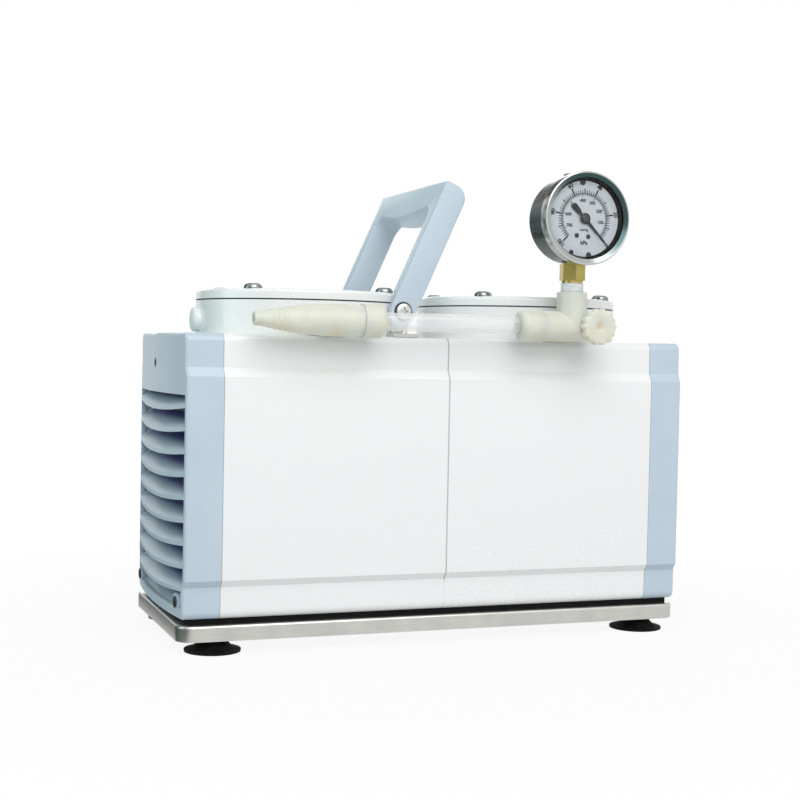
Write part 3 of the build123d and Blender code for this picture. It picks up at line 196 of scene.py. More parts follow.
def ramp(wire, value, low, high):
    """0 where value is at low, 1 where it is at high, smooth between."""
    values = {"Value": value, "From Min": low, "From Max": high}
    return wire.node("ShaderNodeMapRange", {"interpolation_type": "SMOOTHSTEP"}, values)


def from_axis(wire, centre):
    """How far a point lies from an axis that runs front to back through centre, and its offset from it."""
    point = wire.node("ShaderNodeTexCoord", out="Object")
    offset = wire.node("ShaderNodeVectorMath", {"operation": "SUBTRACT"}, {0: point, 1: centre})
    level = wire.node("ShaderNodeVectorMath", {"operation": "MULTIPLY"}, {0: offset, 1: (1.0, 0.0, 1.0)})
    return wire.node("ShaderNodeVectorMath", {"operation": "LENGTH"}, {0: level}, out="Value"), level


def blend_colours(wire, fac, first, second):
    """One colour over another."""
    return wire.node("ShaderNodeMix", {"data_type": "RGBA"}, {0: fac, 6: first, 7: second}, out=2)


print("masks ready")

# %% [markdown]
# ## White enamel
# The housing and heads are cast aluminium under a thick gloss enamel, which flows into a faint orange peel
# about two millimetres wide. The solids could carry real grooves at their joints, but these are hair lines,
# so the shade in them is painted as thin dark lines at the middle seam and at the covers.


# %% White enamel
cover_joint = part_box("housing_right")[1].x


def white_enamel():
    material, shader, wire = start(
        "white_enamel", Coat_Weight=0.35, Coat_Roughness=0.12, Specular_IOR_Level=0.5,
    )
    drift = noise(wire, 0.11, 1.0) * 0.4 + noise(wire, 0.0016, 2.0) * 0.6
    peel = noise(wire, 0.0021, 1.0)
    paint_colour = between(wire, drift, (0.846, 0.869, 0.864), (0.866, 0.886, 0.883))
    across = off_middle(wire, "X")
    above_foot = ramp(wire, off_middle(wire, "Z"), 34.0 * mm, 37.0 * mm)
    # Painted shade: thin dark lines where shade falls into the hairline gaps at the middle seam and where the
    # covers meet the housing.
    seam = (1 - ramp(wire, across, 0.20 * mm, 0.45 * mm)) * (above_foot * 0.75)
    housing_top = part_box("housing_right")[1].z
    below_heads = 1 - ramp(wire, off_middle(wire, "Z"), housing_top - 0.05 * mm, housing_top + 0.05 * mm)
    gap_shade = (ramp(wire, across, cover_joint - 0.5 * mm, cover_joint - 0.2 * mm) + seam) * below_heads
    feed(
        wire, shader,
        Base_Color=blend_colours(wire, gap_shade, paint_colour, (0.30, 0.33, 0.34, 1.0)),
        Roughness=drift * 0.015 + 0.265,
        Normal=bump(wire, peel, 0.00003, 0.2),
    )
    return material


print("covers meet the housing at", round(cover_joint / mm, 1), "mm")

# %% [markdown]
# ## Moulded blue-grey plastic
# The end covers and the handle are moulded in a pale blue grey. The mould is spark-eroded, so the surface has
# a grain of a quarter of a millimetre and a satin sheen. One function makes every moulding, since only its
# colours, polish and grain differ. The covers have their own, because shade is painted deep between their slats.


# %% Moulded plastics
def moulded_plastic(name, low, high, roughness, grain=0.00028, depth=0.00003):
    """A moulded plastic: a colour that drifts slightly, and the fine grain of the mould."""
    material, shader, wire = start(name, Specular_IOR_Level=0.45)
    drift = noise(wire, 0.03, 3.0)
    texture = noise(wire, grain, 2.0)
    feed(
        wire, shader,
        Base_Color=between(wire, drift, low, high),
        Roughness=noise(wire, 0.008, 3.0) * 0.14 + (roughness - 0.07),
        Normal=bump(wire, texture, depth, 0.45),
    )
    return material


print("moulded plastics ready")


# %% Handle plastic
def grey_plastic():
    return moulded_plastic("grey_plastic", (0.500, 0.600, 0.685), (0.530, 0.630, 0.715), 0.42)


print("handle plastic ready")


# %% The covers' plastic
def cover_plastic():
    """The covers' plastic, with painted shade in dark violet deep between the slats and a painted shade ring round
    the top screw.
    """
    material, shader, wire = start(
        "cover_plastic", Specular_IOR_Level=0.45, Coat_Weight=0.2, Coat_Roughness=0.25,
    )
    drift = noise(wire, 0.03, 3.0)
    unshaded_colour = between(wire, drift, (0.495, 0.600, 0.690), (0.525, 0.630, 0.720))
    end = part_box("end_cover_right")[1].x
    # Painted shade: deep between the slats the plastic darkens to a dark violet, where little light comes back
    # out.
    deep = 1 - ramp(wire, off_middle(wire, "X"), end - 10.5 * mm, end - 4.0 * mm)
    within = 1 - ramp(wire, off_middle(wire, "Y"), 55.0 * mm, 58.0 * mm)
    below = 1 - ramp(wire, off_middle(wire, "Z"), 150.0 * mm, 160.0 * mm)
    above = ramp(wire, off_middle(wire, "Z"), 25.0 * mm, 32.0 * mm)
    slat_painted_shade = deep * within * (below * above) * (noise(wire, 0.006, 4.0) * 0.2 + 0.85)
    with_slat_shade = blend_colours(wire, slat_painted_shade, unshaded_colour, (0.060, 0.045, 0.240, 1.0))
    # Painted shade: a near-black ring round the top screw stands for the shade in a recess round it; no recess is
    # cut.
    screw_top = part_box("cover_screws")[1].z
    up = off_middle(wire, "Z") - (screw_top - 1.6 * mm)
    sideways = off_middle(wire, "Y")
    off_centre = wire.math("SQRT", up * up + sideways * sideways, 0.0)
    outermost = ramp(wire, off_middle(wire, "X"), end - 5.0 * mm, end - 4.0 * mm)
    ring = (1 - ramp(wire, off_centre, 2.7 * mm, 3.1 * mm)) * outermost
    feed(
        wire, shader,
        Base_Color=blend_colours(wire, ring, with_slat_shade, (0.012, 0.012, 0.014, 1.0)),
        Roughness=noise(wire, 0.008, 3.0) * 0.14 + 0.35,
        Normal=bump(wire, noise(wire, 0.00028, 2.0), 0.00003, 0.45),
    )
    return material


print("cover plastic ready")


# %% Other mouldings
def black_plastic():
    return moulded_plastic("black_plastic", (0.016, 0.016, 0.018), (0.026, 0.026, 0.029), 0.38)


def silencer_plastic():
    return moulded_plastic("silencer_plastic", (0.78, 0.80, 0.80), (0.86, 0.88, 0.87), 0.50, 0.0007, 0.0002)


def fan_plastic():
    return moulded_plastic("fan_plastic", (0.020, 0.020, 0.022), (0.035, 0.035, 0.038), 0.50)


print("mouldings ready")

# %% [markdown]
# ## Ivory fittings and the clear tube
# Hose fittings like these are moulded in unfilled polypropylene. Light goes a few millimetres into it and
# comes out warmer, which subsurface scattering gives better than a yellow paint would. A darker amber is
# painted as shade on their lower half and in the knob's dimple. The clear tube could refract as glass does,
# but a thin soft tube mostly shows its edges, so it is a clear skin, denser there.


# %% Ivory fittings
def ivory_plastic():
    material, shader, wire = start(
        "ivory_plastic", Subsurface_Weight=0.55, Subsurface_Radius=(1.0, 0.85, 0.50), Subsurface_Scale=0.005,
        Specular_IOR_Level=0.5, Transmission_Weight=0.22, IOR=1.45,
    )
    cloud = noise(wire, 0.009, 3.0)
    clear = between(wire, cloud, (0.80, 0.81, 0.69), (0.86, 0.88, 0.80))
    # Painted shade: blotches of darker amber on the lower half of each fitting, below the line's axis, and in the
    # knob's dimple.
    line_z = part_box("link_tube")[0].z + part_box("link_tube")[1].z
    sunk = 1 - ramp(wire, off_middle(wire, "Z"), line_z / 2 - 8.0 * mm, line_z / 2 + 2.0 * mm)
    knob_low, knob_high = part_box("regulator_knob")
    dimple = 1 - ramp(wire, from_axis(wire, (knob_low + knob_high) / 2)[0], 1.0 * mm, 3.0 * mm)
    amber_shade = sunk * ramp(wire, noise(wire, 0.014, 2.0), 0.40, 0.70) * 0.6 + dimple * 0.6
    feed(
        wire, shader,
        Base_Color=blend_colours(wire, amber_shade, clear, (0.84, 0.72, 0.47, 1.0)),
        Roughness=noise(wire, 0.004, 3.0) * 0.16 + 0.30,
        Normal=bump(wire, noise(wire, 0.0012, 2.0), 0.00005, 0.4),
    )
    return material


print("ivory ready")


# %% Clear tube and window
def clear_tube():
    material, shader, wire = start("clear_tube", Specular_IOR_Level=0.5)
    haze = noise(wire, 0.012, 3.0, (0.3, 1.0, 1.0))
    feed(
        wire, shader,
        Base_Color=between(wire, haze, (0.94, 0.955, 0.95), (0.98, 0.985, 0.98)),
        Alpha=wire.node("ShaderNodeLayerWeight", {}, {"Blend": 0.35}, out="Facing") * 0.5 + haze * 0.1 + 0.14,
        Roughness=haze * 0.10 + 0.16,
        Normal=bump(wire, noise(wire, 0.004, 2.0, (0.2, 1.0, 1.0)), 0.00008, 0.4),
    )
    return material


def window_glass():
    material, shader, wire = start("window_glass", Transmission_Weight=1.0, IOR=1.2)
    smear = noise(wire, 0.01, 4.0, (1.0, 1.0, 0.4))
    feed(
        wire, shader,
        Base_Color=between(wire, smear, (0.97, 0.98, 0.98), (1.0, 1.0, 1.0)),
        Roughness=smear * 0.03,
    )
    return material


print("tube and window ready")

# %% [markdown]
# ## Rubber
# Feet, mat, gaskets and diaphragms are rubber: nearly black and dull, with a bloom of dust that lies unevenly
# over it. A flat black would look like a hole, so the noise moves both the colour and the roughness.


# %% Rubbers
def rubber(name, dark, dusty, grain=0.0006):
    material, shader, wire = start(name, Specular_IOR_Level=0.10)
    dust = noise(wire, 0.006, 5.0)
    feed(
        wire, shader,
        Base_Color=between(wire, dust, dark, dusty),
        Roughness=dust * 0.2 + 0.50,
        Normal=bump(wire, noise(wire, grain, 2.0), 0.00006, 0.5),
    )
    return material


def black_rubber():
    return rubber("black_rubber", (0.002, 0.002, 0.002), (0.008, 0.007, 0.008))


def gasket_rubber():
    return rubber("gasket_rubber", (0.030, 0.032, 0.035), (0.055, 0.057, 0.060), 0.0004)


def red_rubber():
    return rubber("red_rubber", (0.130, 0.030, 0.025), (0.210, 0.055, 0.040), 0.0004)


print("rubbers ready")

# %% [markdown]
# ## Metals
# One function makes them all. A stretched noise gives the lines that a brush, a lathe or a rolling mill
# leaves, along the direction in which the tool went, and a slower noise tarnishes them a little. The shader's
# own anisotropy would draw the highlight but not the lines, which show on a plate this near.


# %% Metals
def metal(name, low, high, roughness, line=0.0004, stretch=(0.03, 1.0, 1.0), depth=0.000012, wear=0.12):
    """A bare metal with tool lines of that width, long along the axis with the smallest stretch."""
    material, shader, wire = start(name, Metallic=1.0)
    lines = noise(wire, line, 3.0, stretch)
    tarnish = noise(wire, 0.011, 4.0)
    feed(
        wire, shader,
        Base_Color=between(wire, lines * 0.5 + tarnish * 0.5, low, high),
        Roughness=lines * wear + tarnish * wear + (roughness - wear),
        Normal=bump(wire, lines, depth, 0.6),
    )
    return material


print("metal ready")


# %% Plate, screws and springs
def plate_steel():
    return metal("plate_steel", (0.50, 0.505, 0.48), (0.62, 0.615, 0.58), 0.34)


def zinc_steel():
    return metal("zinc_steel", (0.60, 0.61, 0.60), (0.74, 0.74, 0.71), 0.30, 0.0008, EVEN)


def screw_chrome():
    return metal("screw_chrome", (0.20, 0.23, 0.22), (0.36, 0.38, 0.37), 0.26, 0.0006, EVEN)


def spring_steel():
    return metal("spring_steel", (0.55, 0.55, 0.56), (0.64, 0.64, 0.64), 0.26)


def ground_steel():
    return metal("ground_steel", (0.52, 0.53, 0.54), (0.64, 0.645, 0.65), 0.24, 0.0003, (1.0, 0.05, 0.05))


print("plate and screw steels ready")


# %% Motor and crank metals
def lamination():
    stacked = (1.0, 0.02, 0.02)
    return metal("lamination", (0.16, 0.17, 0.19), (0.30, 0.31, 0.33), 0.44, 0.0005, stacked, 0.00005)


def copper():
    return metal("copper", (0.42, 0.14, 0.045), (0.62, 0.25, 0.10), 0.34, 0.0009, (1.0, 0.06, 0.06), 0.0002)


def cast_iron():
    return metal("cast_iron", (0.10, 0.10, 0.105), (0.20, 0.20, 0.205), 0.50, 0.0008, EVEN, 0.00008)


def rod_aluminium():
    return metal("rod_aluminium", (0.50, 0.51, 0.52), (0.64, 0.65, 0.66), 0.42, 0.0009, EVEN, 0.00005)


print("motor metals ready")


# %% The gauge's metals
def gauge_brass():
    return metal("gauge_brass", (0.34, 0.29, 0.075), (0.50, 0.42, 0.14), 0.30, 0.0005, (1.0, 1.0, 0.08))


def gauge_steel():
    turned = (1.0, 0.2, 1.0)
    low, high = (0.062, 0.080, 0.080), (0.086, 0.104, 0.101)
    return metal("gauge_steel", low, high, 0.27, 0.002, turned, 0.000002, 0.05)


def bezel_steel():
    """Bright on the rolled edge, with a painted reflection on the lip within it: dark blue-green, most on the
    upper right.
    """
    material, shader, wire = start("bezel_steel", Metallic=1.0)
    low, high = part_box("gauge_bezel")
    lines = noise(wire, 0.0003, 3.0, (1.0, 0.3, 1.0))
    radius, level = from_axis(wire, (low + high) / 2)
    upper_right = (0.74, 0.0, 0.67)
    side = wire.node(
        "ShaderNodeVectorMath", {"operation": "DOT_PRODUCT"}, {0: level, 1: upper_right}, out="Value",
    )
    # Painted reflection: within the rolled edge the steel is darkened to blue-green, most towards the upper right.
    reflection_side = ramp(wire, side, -20.0 * mm, 8.0 * mm) * 0.75 + 0.25
    painted_reflection = (1 - ramp(wire, radius, 25.0 * mm, 25.7 * mm)) * reflection_side
    bright = between(wire, lines, (0.50, 0.52, 0.51), (0.60, 0.61, 0.60))
    feed(
        wire, shader,
        Base_Color=blend_colours(wire, painted_reflection, bright, (0.050, 0.082, 0.084, 1.0)),
        Roughness=lines * 0.04 + 0.18,
        Normal=bump(wire, lines, 0.000002, 0.6),
    )
    return material


print("gauge metals ready")

# %% [markdown]
# ## Tape, dial paint and the pointer's enamel
# The sealing tape is a soft white film wound round the thread, so it has fine wrinkles that go round. The
# dial is sheet with a dead-flat white paint, and the pointer is stamped and dipped in black enamel.


# %% Sealing tape
def sealing_tape():
    material, shader, wire = start("sealing_tape", Subsurface_Weight=0.2, Subsurface_Scale=0.001)
    wrinkle = noise(wire, 0.0011, 4.0, (0.25, 0.25, 1.0))
    feed(
        wire, shader,
        Base_Color=between(wire, wrinkle, (0.74, 0.76, 0.78), (0.90, 0.91, 0.92)),
        Roughness=wrinkle * 0.2 + 0.45,
        Normal=bump(wire, wrinkle, 0.0003, 0.7),
    )
    return material


print("tape ready")


# %% Paints
def paint(name, low, high, roughness):
    material, shader, wire = start(name, Specular_IOR_Level=0.4)
    mottle = noise(wire, 0.004, 4.0)
    feed(
        wire, shader,
        Base_Color=between(wire, mottle, low, high),
        Roughness=mottle * 0.12 + (roughness - 0.06),
        Normal=bump(wire, noise(wire, 0.0004, 2.0), 0.00001, 0.4),
    )
    return material


def black_screws():
    return paint("black_screws", (0.015, 0.015, 0.016), (0.040, 0.040, 0.042), 0.42)


def dial_white():
    return paint("dial_white", (0.47, 0.515, 0.55), (0.53, 0.57, 0.605), 0.50)


def pointer_black():
    return paint("pointer_black", (0.008, 0.008, 0.009), (0.018, 0.018, 0.020), 0.30)


print("paints ready")

# %% Give every solid its finish
makers = [
    white_enamel, grey_plastic, cover_plastic, black_plastic, silencer_plastic, fan_plastic, ivory_plastic,
    clear_tube, window_glass, black_rubber, gasket_rubber, red_rubber, plate_steel, zinc_steel, screw_chrome,
    spring_steel, ground_steel, lamination, copper, cast_iron, rod_aluminium, gauge_brass, gauge_steel,
    bezel_steel, sealing_tape, black_screws, dial_white, pointer_black,
]
finishes = {maker.__name__: maker() for maker in makers}
slot_of = {part["node"]: part["material_slot"] for part in record["subparts"]}
for node, obj in frame["nodes"].items():
    obj.data.materials.clear()
    finish = "cover_plastic" if node.startswith("end_cover") else slot_of[node]
    obj.data.materials.append(finishes[finish])
print("finishes", len(finishes), "on", len(slot_of), "solids")

# %% [markdown]
# ## Turned pieces
# Screws, the bezel and the tape are turned or wound. A Screw modifier could sweep them, but its radius can't
# change as it goes round. Here an outline is swept in mesh code, as on a lathe, and a radius that changes
# with the angle cuts the cross in a screw's head.


# %% Put a piece in the scene
def new_piece(name, mesh, body, slot, replaces=(), finish=None):
    """Put a mesh in the scene: it rides on a body and takes its finish from a slot of the record."""
    piece = bpy.data.objects.new(name, mesh)
    scene.collection.objects.link(piece)
    if not mesh.materials:
        mesh.materials.append(finishes[finish or slot])
    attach(piece, body)
    if replaces:
        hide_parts(*replaces)
    return piece


print("pieces can be added")


# %% The lathe
def turn(mesh, outline, centre, axis, steps=96):
    """Sweep an outline of (distance along the axis, radius) round the axis, into a bmesh."""
    spin = Vector(axis).to_track_quat("Z", "Y").to_matrix()
    rings = []
    for height, radius in outline:
        ring = []
        for step in range(steps):
            angle = 2 * pi * step / steps
            reach = radius(angle) if callable(radius) else radius
            point = Vector(centre) + spin @ Vector((reach * cos(angle), reach * sin(angle), height))
            ring.append(mesh.verts.new(point))
        rings.append(ring)
    for low, high in zip(rings, rings[1:]):
        for step in range(steps):
            after = (step + 1) % steps
            mesh.faces.new((low[step], low[after], high[after], high[step]))
    return mesh


print("lathe ready")


# %% Close up a mesh
def finished_mesh(name, build, sharp=32.0):
    """Close up a bmesh, turn its faces outward and shade it smooth up to the sharp angle."""
    bmesh.ops.remove_doubles(build, verts=build.verts, dist=1e-7)
    bmesh.ops.dissolve_degenerate(build, edges=build.edges, dist=1e-8)
    bmesh.ops.recalc_face_normals(build, faces=build.faces)
    mesh = bpy.data.meshes.new(name)
    build.to_mesh(mesh)
    build.free()
    mesh.shade_smooth()
    mesh.set_sharp_from_angle(angle=radians(sharp))
    return mesh


def closed_piece(name, build, body, slot, replaces=(), finish=None, sharp=32.0):
    """Close up a bmesh and put it in the scene as a piece."""
    return new_piece(name, finished_mesh(name, build, sharp), body, slot, replaces, finish)


print("meshes can be closed")


# %% The section of a screw head
def cross(arm, half_width):
    """The radius of a cross-shaped recess at each angle."""
    def reach(angle):
        c = max(abs(cos(angle)), 1e-6)
        s = max(abs(sin(angle)), 1e-6)
        return max(min(arm / c, half_width / s), min(arm / s, half_width / c))
    return reach


def screw_outline(radius, height, wall=0.55):
    """A pan head from its seat up a wall, over the dome and down into a cross recess."""
    dome = [
        (height * (wall + (1 - wall) * sin(a)), radius * (0.55 + 0.45 * cos(a)))
        for a in (radians(10 * k) for k in range(10))
    ]
    recess = cross(0.48 * radius, 0.12 * radius)
    foot = cross(0.34 * radius, 0.07 * radius)
    return [(0.0, 0.0), (0.0, radius), *dome, (height, recess), (0.45 * height, foot), (0.45 * height, 0.0)]


print("screw section ready")

# %% [markdown]
# ## Screws
# The construction model holds each screw as a plain pan head. Copies of one mesh would also do. Reading each
# place and radius from the node instead keeps every head on its own seat and inside the same height, and a
# dome and a cross recess are added there.


# %% Islands of a node
def islands(node):
    """The separate solids of one node, as lists of corner points."""
    mesh = bmesh.new()
    mesh.from_mesh(frame["nodes"][node].data)
    bmesh.ops.remove_doubles(mesh, verts=mesh.verts, dist=1e-6)
    seen = set()
    found = []
    for vert in mesh.verts:
        if vert in seen:
            continue
        group = [vert]
        seen.add(vert)
        for member in group:
            for edge in member.link_edges:
                other = edge.other_vert(member)
                if other not in seen:
                    seen.add(other)
                    group.append(other)
        found.append([v.co.copy() for v in group])
    mesh.free()
    return found


def corners(points):
    low = Vector(min(p[i] for p in points) for i in range(3))
    high = Vector(max(p[i] for p in points) for i in range(3))
    return low, high


print("islands of a node can be found")

# %% Turn the lid screws
lid_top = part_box("head_lid_left")[1].z
build = bmesh.new()
lid_screw_places = []
for points in islands("lid_screws"):
    low, high = corners(points)
    centre = (low + high) / 2
    radius = (high.x - low.x) / 2
    lid_screw_places.append((centre.x, centre.y))
    seat = Vector((centre.x, centre.y, lid_top))
    shank = [(low.z - lid_top, 0.0), (low.z - lid_top, 0.45 * radius), (0.0, 0.45 * radius)]
    turn(build, shank + screw_outline(radius, high.z - lid_top, 0.12)[1:], seat, (0, 0, 1), 72)
closed_piece("lid_screw_set", build, "pump", "screw_chrome", ["lid_screws"])
print("lid screws", len(lid_screw_places), [round(v / mm, 1) for v in lid_screw_places[0]])

# %% [markdown]
# ## Carrying handle
# The handle is one moulded hoop that leans to the right above its two pivots. A bent tube would give round
# arms, and these are flat. So its outline is pushed through the full width, the hand's window is cut the
# other way, and a small bevel softens every edge.


# %% Solid shapes from outlines
def prism(name, outline, place_point, low, high):
    """A closed outline pushed from low to high. place_point puts (a, b, depth) on the pump."""
    build = bmesh.new()
    ends = [[build.verts.new(place_point(a, b, depth)) for a, b in outline] for depth in (low, high)]
    for end in ends:
        build.faces.new(end)
    for step in range(len(outline)):
        after = (step + 1) % len(outline)
        build.faces.new((ends[0][step], ends[0][after], ends[1][after], ends[1][step]))
    bmesh.ops.recalc_face_normals(build, faces=build.faces)
    mesh = bpy.data.meshes.new(name)
    build.to_mesh(mesh)
    build.free()
    return mesh


def arc(centre, radius, first, last, steps=12):
    """Points on an arc, with its angles in degrees."""
    angles = [radians(first + (last - first) * step / steps) for step in range(steps + 1)]
    return [(centre[0] + radius * cos(a), centre[1] + radius * sin(a)) for a in angles]


print("outlines can be pushed and drawn")


# %% Cut and soften a shape
def carve(name, body_mesh, cutters, bevel):
    """Cut meshes out of a mesh, bevel what is left and return it as a new mesh."""
    block = bpy.data.objects.new(name, body_mesh)
    scene.collection.objects.link(block)
    tools = []
    for cutter in cutters:
        tool = bpy.data.objects.new(name + "_cutter", cutter)
        scene.collection.objects.link(tool)
        tools.append(tool)
        cut = block.modifiers.new("cut", "BOOLEAN")
        cut.operation = "DIFFERENCE"
        cut.solver = "EXACT"
        cut.object = tool
    soften = block.modifiers.new("soften", "BEVEL")
    soften.width = bevel
    soften.segments = 3
    soften.limit_method = "ANGLE"
    soften.angle_limit = radians(40)
    bpy.context.view_layer.update()
    carved = bpy.data.meshes.new_from_object(block.evaluated_get(bpy.context.evaluated_depsgraph_get()))
    carved.name = name
    for spare in (block, *tools):
        bpy.data.objects.remove(spare)
    carved.shade_smooth()
    carved.set_sharp_from_angle(angle=radians(42))
    return carved


print("shapes can be cut")

# %% Measure the handle
hinge = Vector(joints["handle_fold"]["pos_m"])
handle_low, handle_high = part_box("carry_handle")
lean = radians(24)
reach_way = Vector((sin(lean), 0, cos(lean)))
wide_way = Vector((cos(lean), 0, -sin(lean)))
half_span = (handle_high.y - handle_low.y) / 2
arm = 9.0 * mm
half_width = 7.5 * mm
reach = 79.3 * mm
grip = 15.5 * mm
belly = 3.0 * mm
tab = 5.2 * mm
tab_top = 6.5 * mm
outer_round = 8.0 * mm
inner_round = 8.0 * mm


def seen_from_front(wide, upward, depth):
    return hinge + wide_way * wide + reach_way * upward + Vector((0, depth, 0))


def seen_from_side(across, upward, wide):
    return hinge + wide_way * wide + reach_way * upward + Vector((0, across, 0))


print("hinge", [round(v / mm, 1) for v in hinge], "span", round(2 * half_span / mm, 1), "mm")

# %% Draw the handle's side and window
foot_length = 8.8 * mm
side_outline = [
    *[(half_width * cos(a), foot_length * sin(a)) for a in (pi + pi * step / 24 for step in range(25))],
    *arc((half_width - outer_round, reach - outer_round), outer_round, 0, 90, 12),
    *arc((-half_width + 1.2 * mm, reach - 1.2 * mm), 1.2 * mm, 90, 180, 4),
]
inside = half_span - arm
window_top = reach - grip
belly_curve = [
    (inside - inner_round - t * 2 * (inside - inner_round), window_top - belly * sin(pi * t))
    for t in (step / 16 for step in range(1, 16))
]
window = [
    (half_span - tab, -20 * mm), (half_span - tab, tab_top), (inside, tab_top + 3 * mm),
    *arc((inside - inner_round, window_top - inner_round), inner_round, 0, 90, 8),
    *belly_curve,
    *arc((-inside + inner_round, window_top - inner_round), inner_round, 90, 180, 8),
    (-inside, tab_top + 3 * mm), (-half_span + tab, tab_top), (-half_span + tab, -20 * mm),
]
print("side outline", len(side_outline), "points, window", len(window), "points")

# %% Carve the handle
hoop = carve(
    "handle_hoop",
    prism("hoop", side_outline, seen_from_front, -half_span, half_span),
    [prism("window", window, seen_from_side, -30 * mm, 30 * mm)],
    0.8 * mm,
)
new_piece("handle_hoop", hoop, "handle", "grey_plastic", ["carry_handle"])
print("handle", len(hoop.polygons), "faces")

# %% [markdown]
# ## The handle's pivot screws
# Each arm turns on a shouldered screw with a domed head and a cross recess. A thin ring of dark plastic under
# the head stands for the shade round it, as painted shade. Both are turned in the same pass, because they share an
# axis and a seat.

# %% Pivot screws and bracket screws
build = bmesh.new()
shade_rings = bmesh.new()
hole = 2.8 * mm
for points in islands("handle_screws"):
    low, high = corners(points)
    centre = (low + high) / 2
    side = 1 if centre.y > 0 else -1
    pivot = abs(centre.z - hinge.z) < 2 * mm
    radius = (high.z - low.z) / 2
    tip = high.y if side > 0 else low.y
    far = low.y if side > 0 else high.y
    if pivot:
        seat = side * half_span
        head = abs(tip - seat)
        rim = radius + 0.9 * mm
        # Painted shade: a thin black ring under each pivot screw's head stands for the shade round the head.
        shade_ring = [
            (0.02 * mm, hole), (0.02 * mm, rim), (0.45 * mm, rim - 0.1 * mm),
            (0.45 * mm, hole), (0.02 * mm, hole),
        ]
        turn(shade_rings, shade_ring, (centre.x, seat, centre.z), (0, side, 0), 64)
    else:
        head = 0.45 * abs(tip - far)
        seat = tip - side * head
        head = abs(tip - seat)
    shank = [(-abs(seat - far), 0.0), (-abs(seat - far), 0.5 * radius), (0.0, 0.5 * radius)]
    turn(build, shank + screw_outline(radius, head)[1:], (centre.x, seat, centre.z), (0, side, 0), 64)
    print("screw at", [round(v / mm, 1) for v in centre], "pivot" if pivot else "bracket")
closed_piece("handle_screw_set", build, "pump", "zinc_steel", ["handle_screws"])
closed_piece("pivot_shade_rings", shade_rings, "pump", "black_plastic")

# %% [markdown]
# ## The gauge's dial
# A nominal 50 mm gauge has a 270 degree scale. The outer ring has a long mark every 20 kPa, and the inner
# ring has a finer scale in mmHg. An image could carry them, but flat shapes a hair above the paint stay
# sharp at any distance, as print does.


# %% Find the dial
bezel_low, bezel_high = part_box("gauge_bezel")
gauge = Vector((bezel_low.x + bezel_high.x, 0, bezel_low.z + bezel_high.z)) / 2
dial_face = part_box("gauge_dial")[0].y
print_y = dial_face - 0.04 * mm
zero_angle = radians(-45)
sweep = radians(270)
print("gauge axis", [round(v / mm, 2) for v in gauge], "face", round(dial_face / mm, 2))


# %% Bars and arcs on the dial
def on_dial(radius, angle, y):
    return Vector((gauge.x + radius * cos(angle), y, gauge.z + radius * sin(angle)))


def bar(build, inner, outer, angle, width, y):
    """One printed mark: a flat bar between two radii."""
    across = Vector((-sin(angle), 0, cos(angle))) * width / 2
    a = on_dial(inner, angle, y)
    b = on_dial(outer, angle, y)
    build.faces.new([build.verts.new(p) for p in (a - across, b - across, b + across, a + across)])


def ring_band(build, inner, outer, first, last, y, steps=90):
    """A printed arc between two angles."""
    rows = []
    for step in range(steps + 1):
        angle = first + (last - first) * step / steps
        rows.append((build.verts.new(on_dial(inner, angle, y)), build.verts.new(on_dial(outer, angle, y))))
    for (a, b), (c, d) in zip(rows, rows[1:]):
        build.faces.new((a, b, d, c))


print("bars and arcs can be printed")


# %% Figures as meshes
def letters(text, size, radius, angle, y, upright=False):
    """Printed figures as a mesh: their feet point to the dial's centre, unless they stand upright."""
    curve = bpy.data.curves.new("figures", "FONT")
    curve.body = text
    curve.size = size
    curve.align_x = "CENTER"
    curve.align_y = "CENTER"
    curve.offset = size * 0.045
    curve.resolution_u = 3
    holder = bpy.data.objects.new("figures", curve)
    scene.collection.objects.link(holder)
    bpy.context.view_layer.update()
    flat = bpy.data.meshes.new_from_object(holder)
    turn_by = 0.0 if upright else angle - pi / 2
    stand = Matrix.Translation(on_dial(radius, angle, y)) @ Matrix.Rotation(-turn_by, 4, "Y")
    flat.transform(stand @ Matrix.Rotation(pi / 2, 4, "X"))
    bpy.data.objects.remove(holder)
    return flat


print("figures ready")

# %% Print the two scales
scale_radius = 14.4 * mm
outer_steps = 50
inner_steps = 76
tick_sizes = {10: (18.4 * mm, 0.95 * mm), 5: (16.9 * mm, 0.70 * mm), 1: (16.1 * mm, 0.52 * mm)}
build = bmesh.new()
for number in range(outer_steps + 1):
    angle = zero_angle + sweep * number / outer_steps
    tick_end, tick_width = next(size for every, size in tick_sizes.items() if number % every == 0)
    bar(build, scale_radius, tick_end, angle, tick_width, print_y)
for number in range(inner_steps + 1):
    angle = zero_angle + sweep * number / inner_steps
    longer = 1.1 * mm if number % 10 == 0 else 0.0
    bar(build, 13.0 * mm - longer, 14.1 * mm, angle, 0.40 * mm, print_y)
ring_band(build, 14.0 * mm, scale_radius, zero_angle, zero_angle + sweep, print_y)
print("scale divisions", outer_steps, "and", inner_steps)

# %% Print the figures and units
for number, text in enumerate(("0", "20", "40", "60", "80", "100")):
    outer = letters(text, 3.4 * mm, 20.0 * mm, zero_angle + sweep * number / 5, print_y)
    build.from_mesh(outer)
for number in range(8):
    angle = zero_angle + sweep * number * 10 / inner_steps
    inner = letters(str(100 * number), 2.5 * mm, 10.2 * mm, angle, print_y, True)
    build.from_mesh(inner)
build.from_mesh(letters("kPa", 3.1 * mm, 13.6 * mm, radians(-90), print_y, True))
build.from_mesh(letters("mmHg", 1.9 * mm, 6.3 * mm, radians(-90), print_y, True))
bmesh.ops.triangulate(build, faces=build.faces)
mesh = bpy.data.meshes.new("dial_print")
build.to_mesh(mesh)
build.free()
new_piece("dial_print", mesh, "pump", "pointer_black")
print("dial marks", len(mesh.polygons))

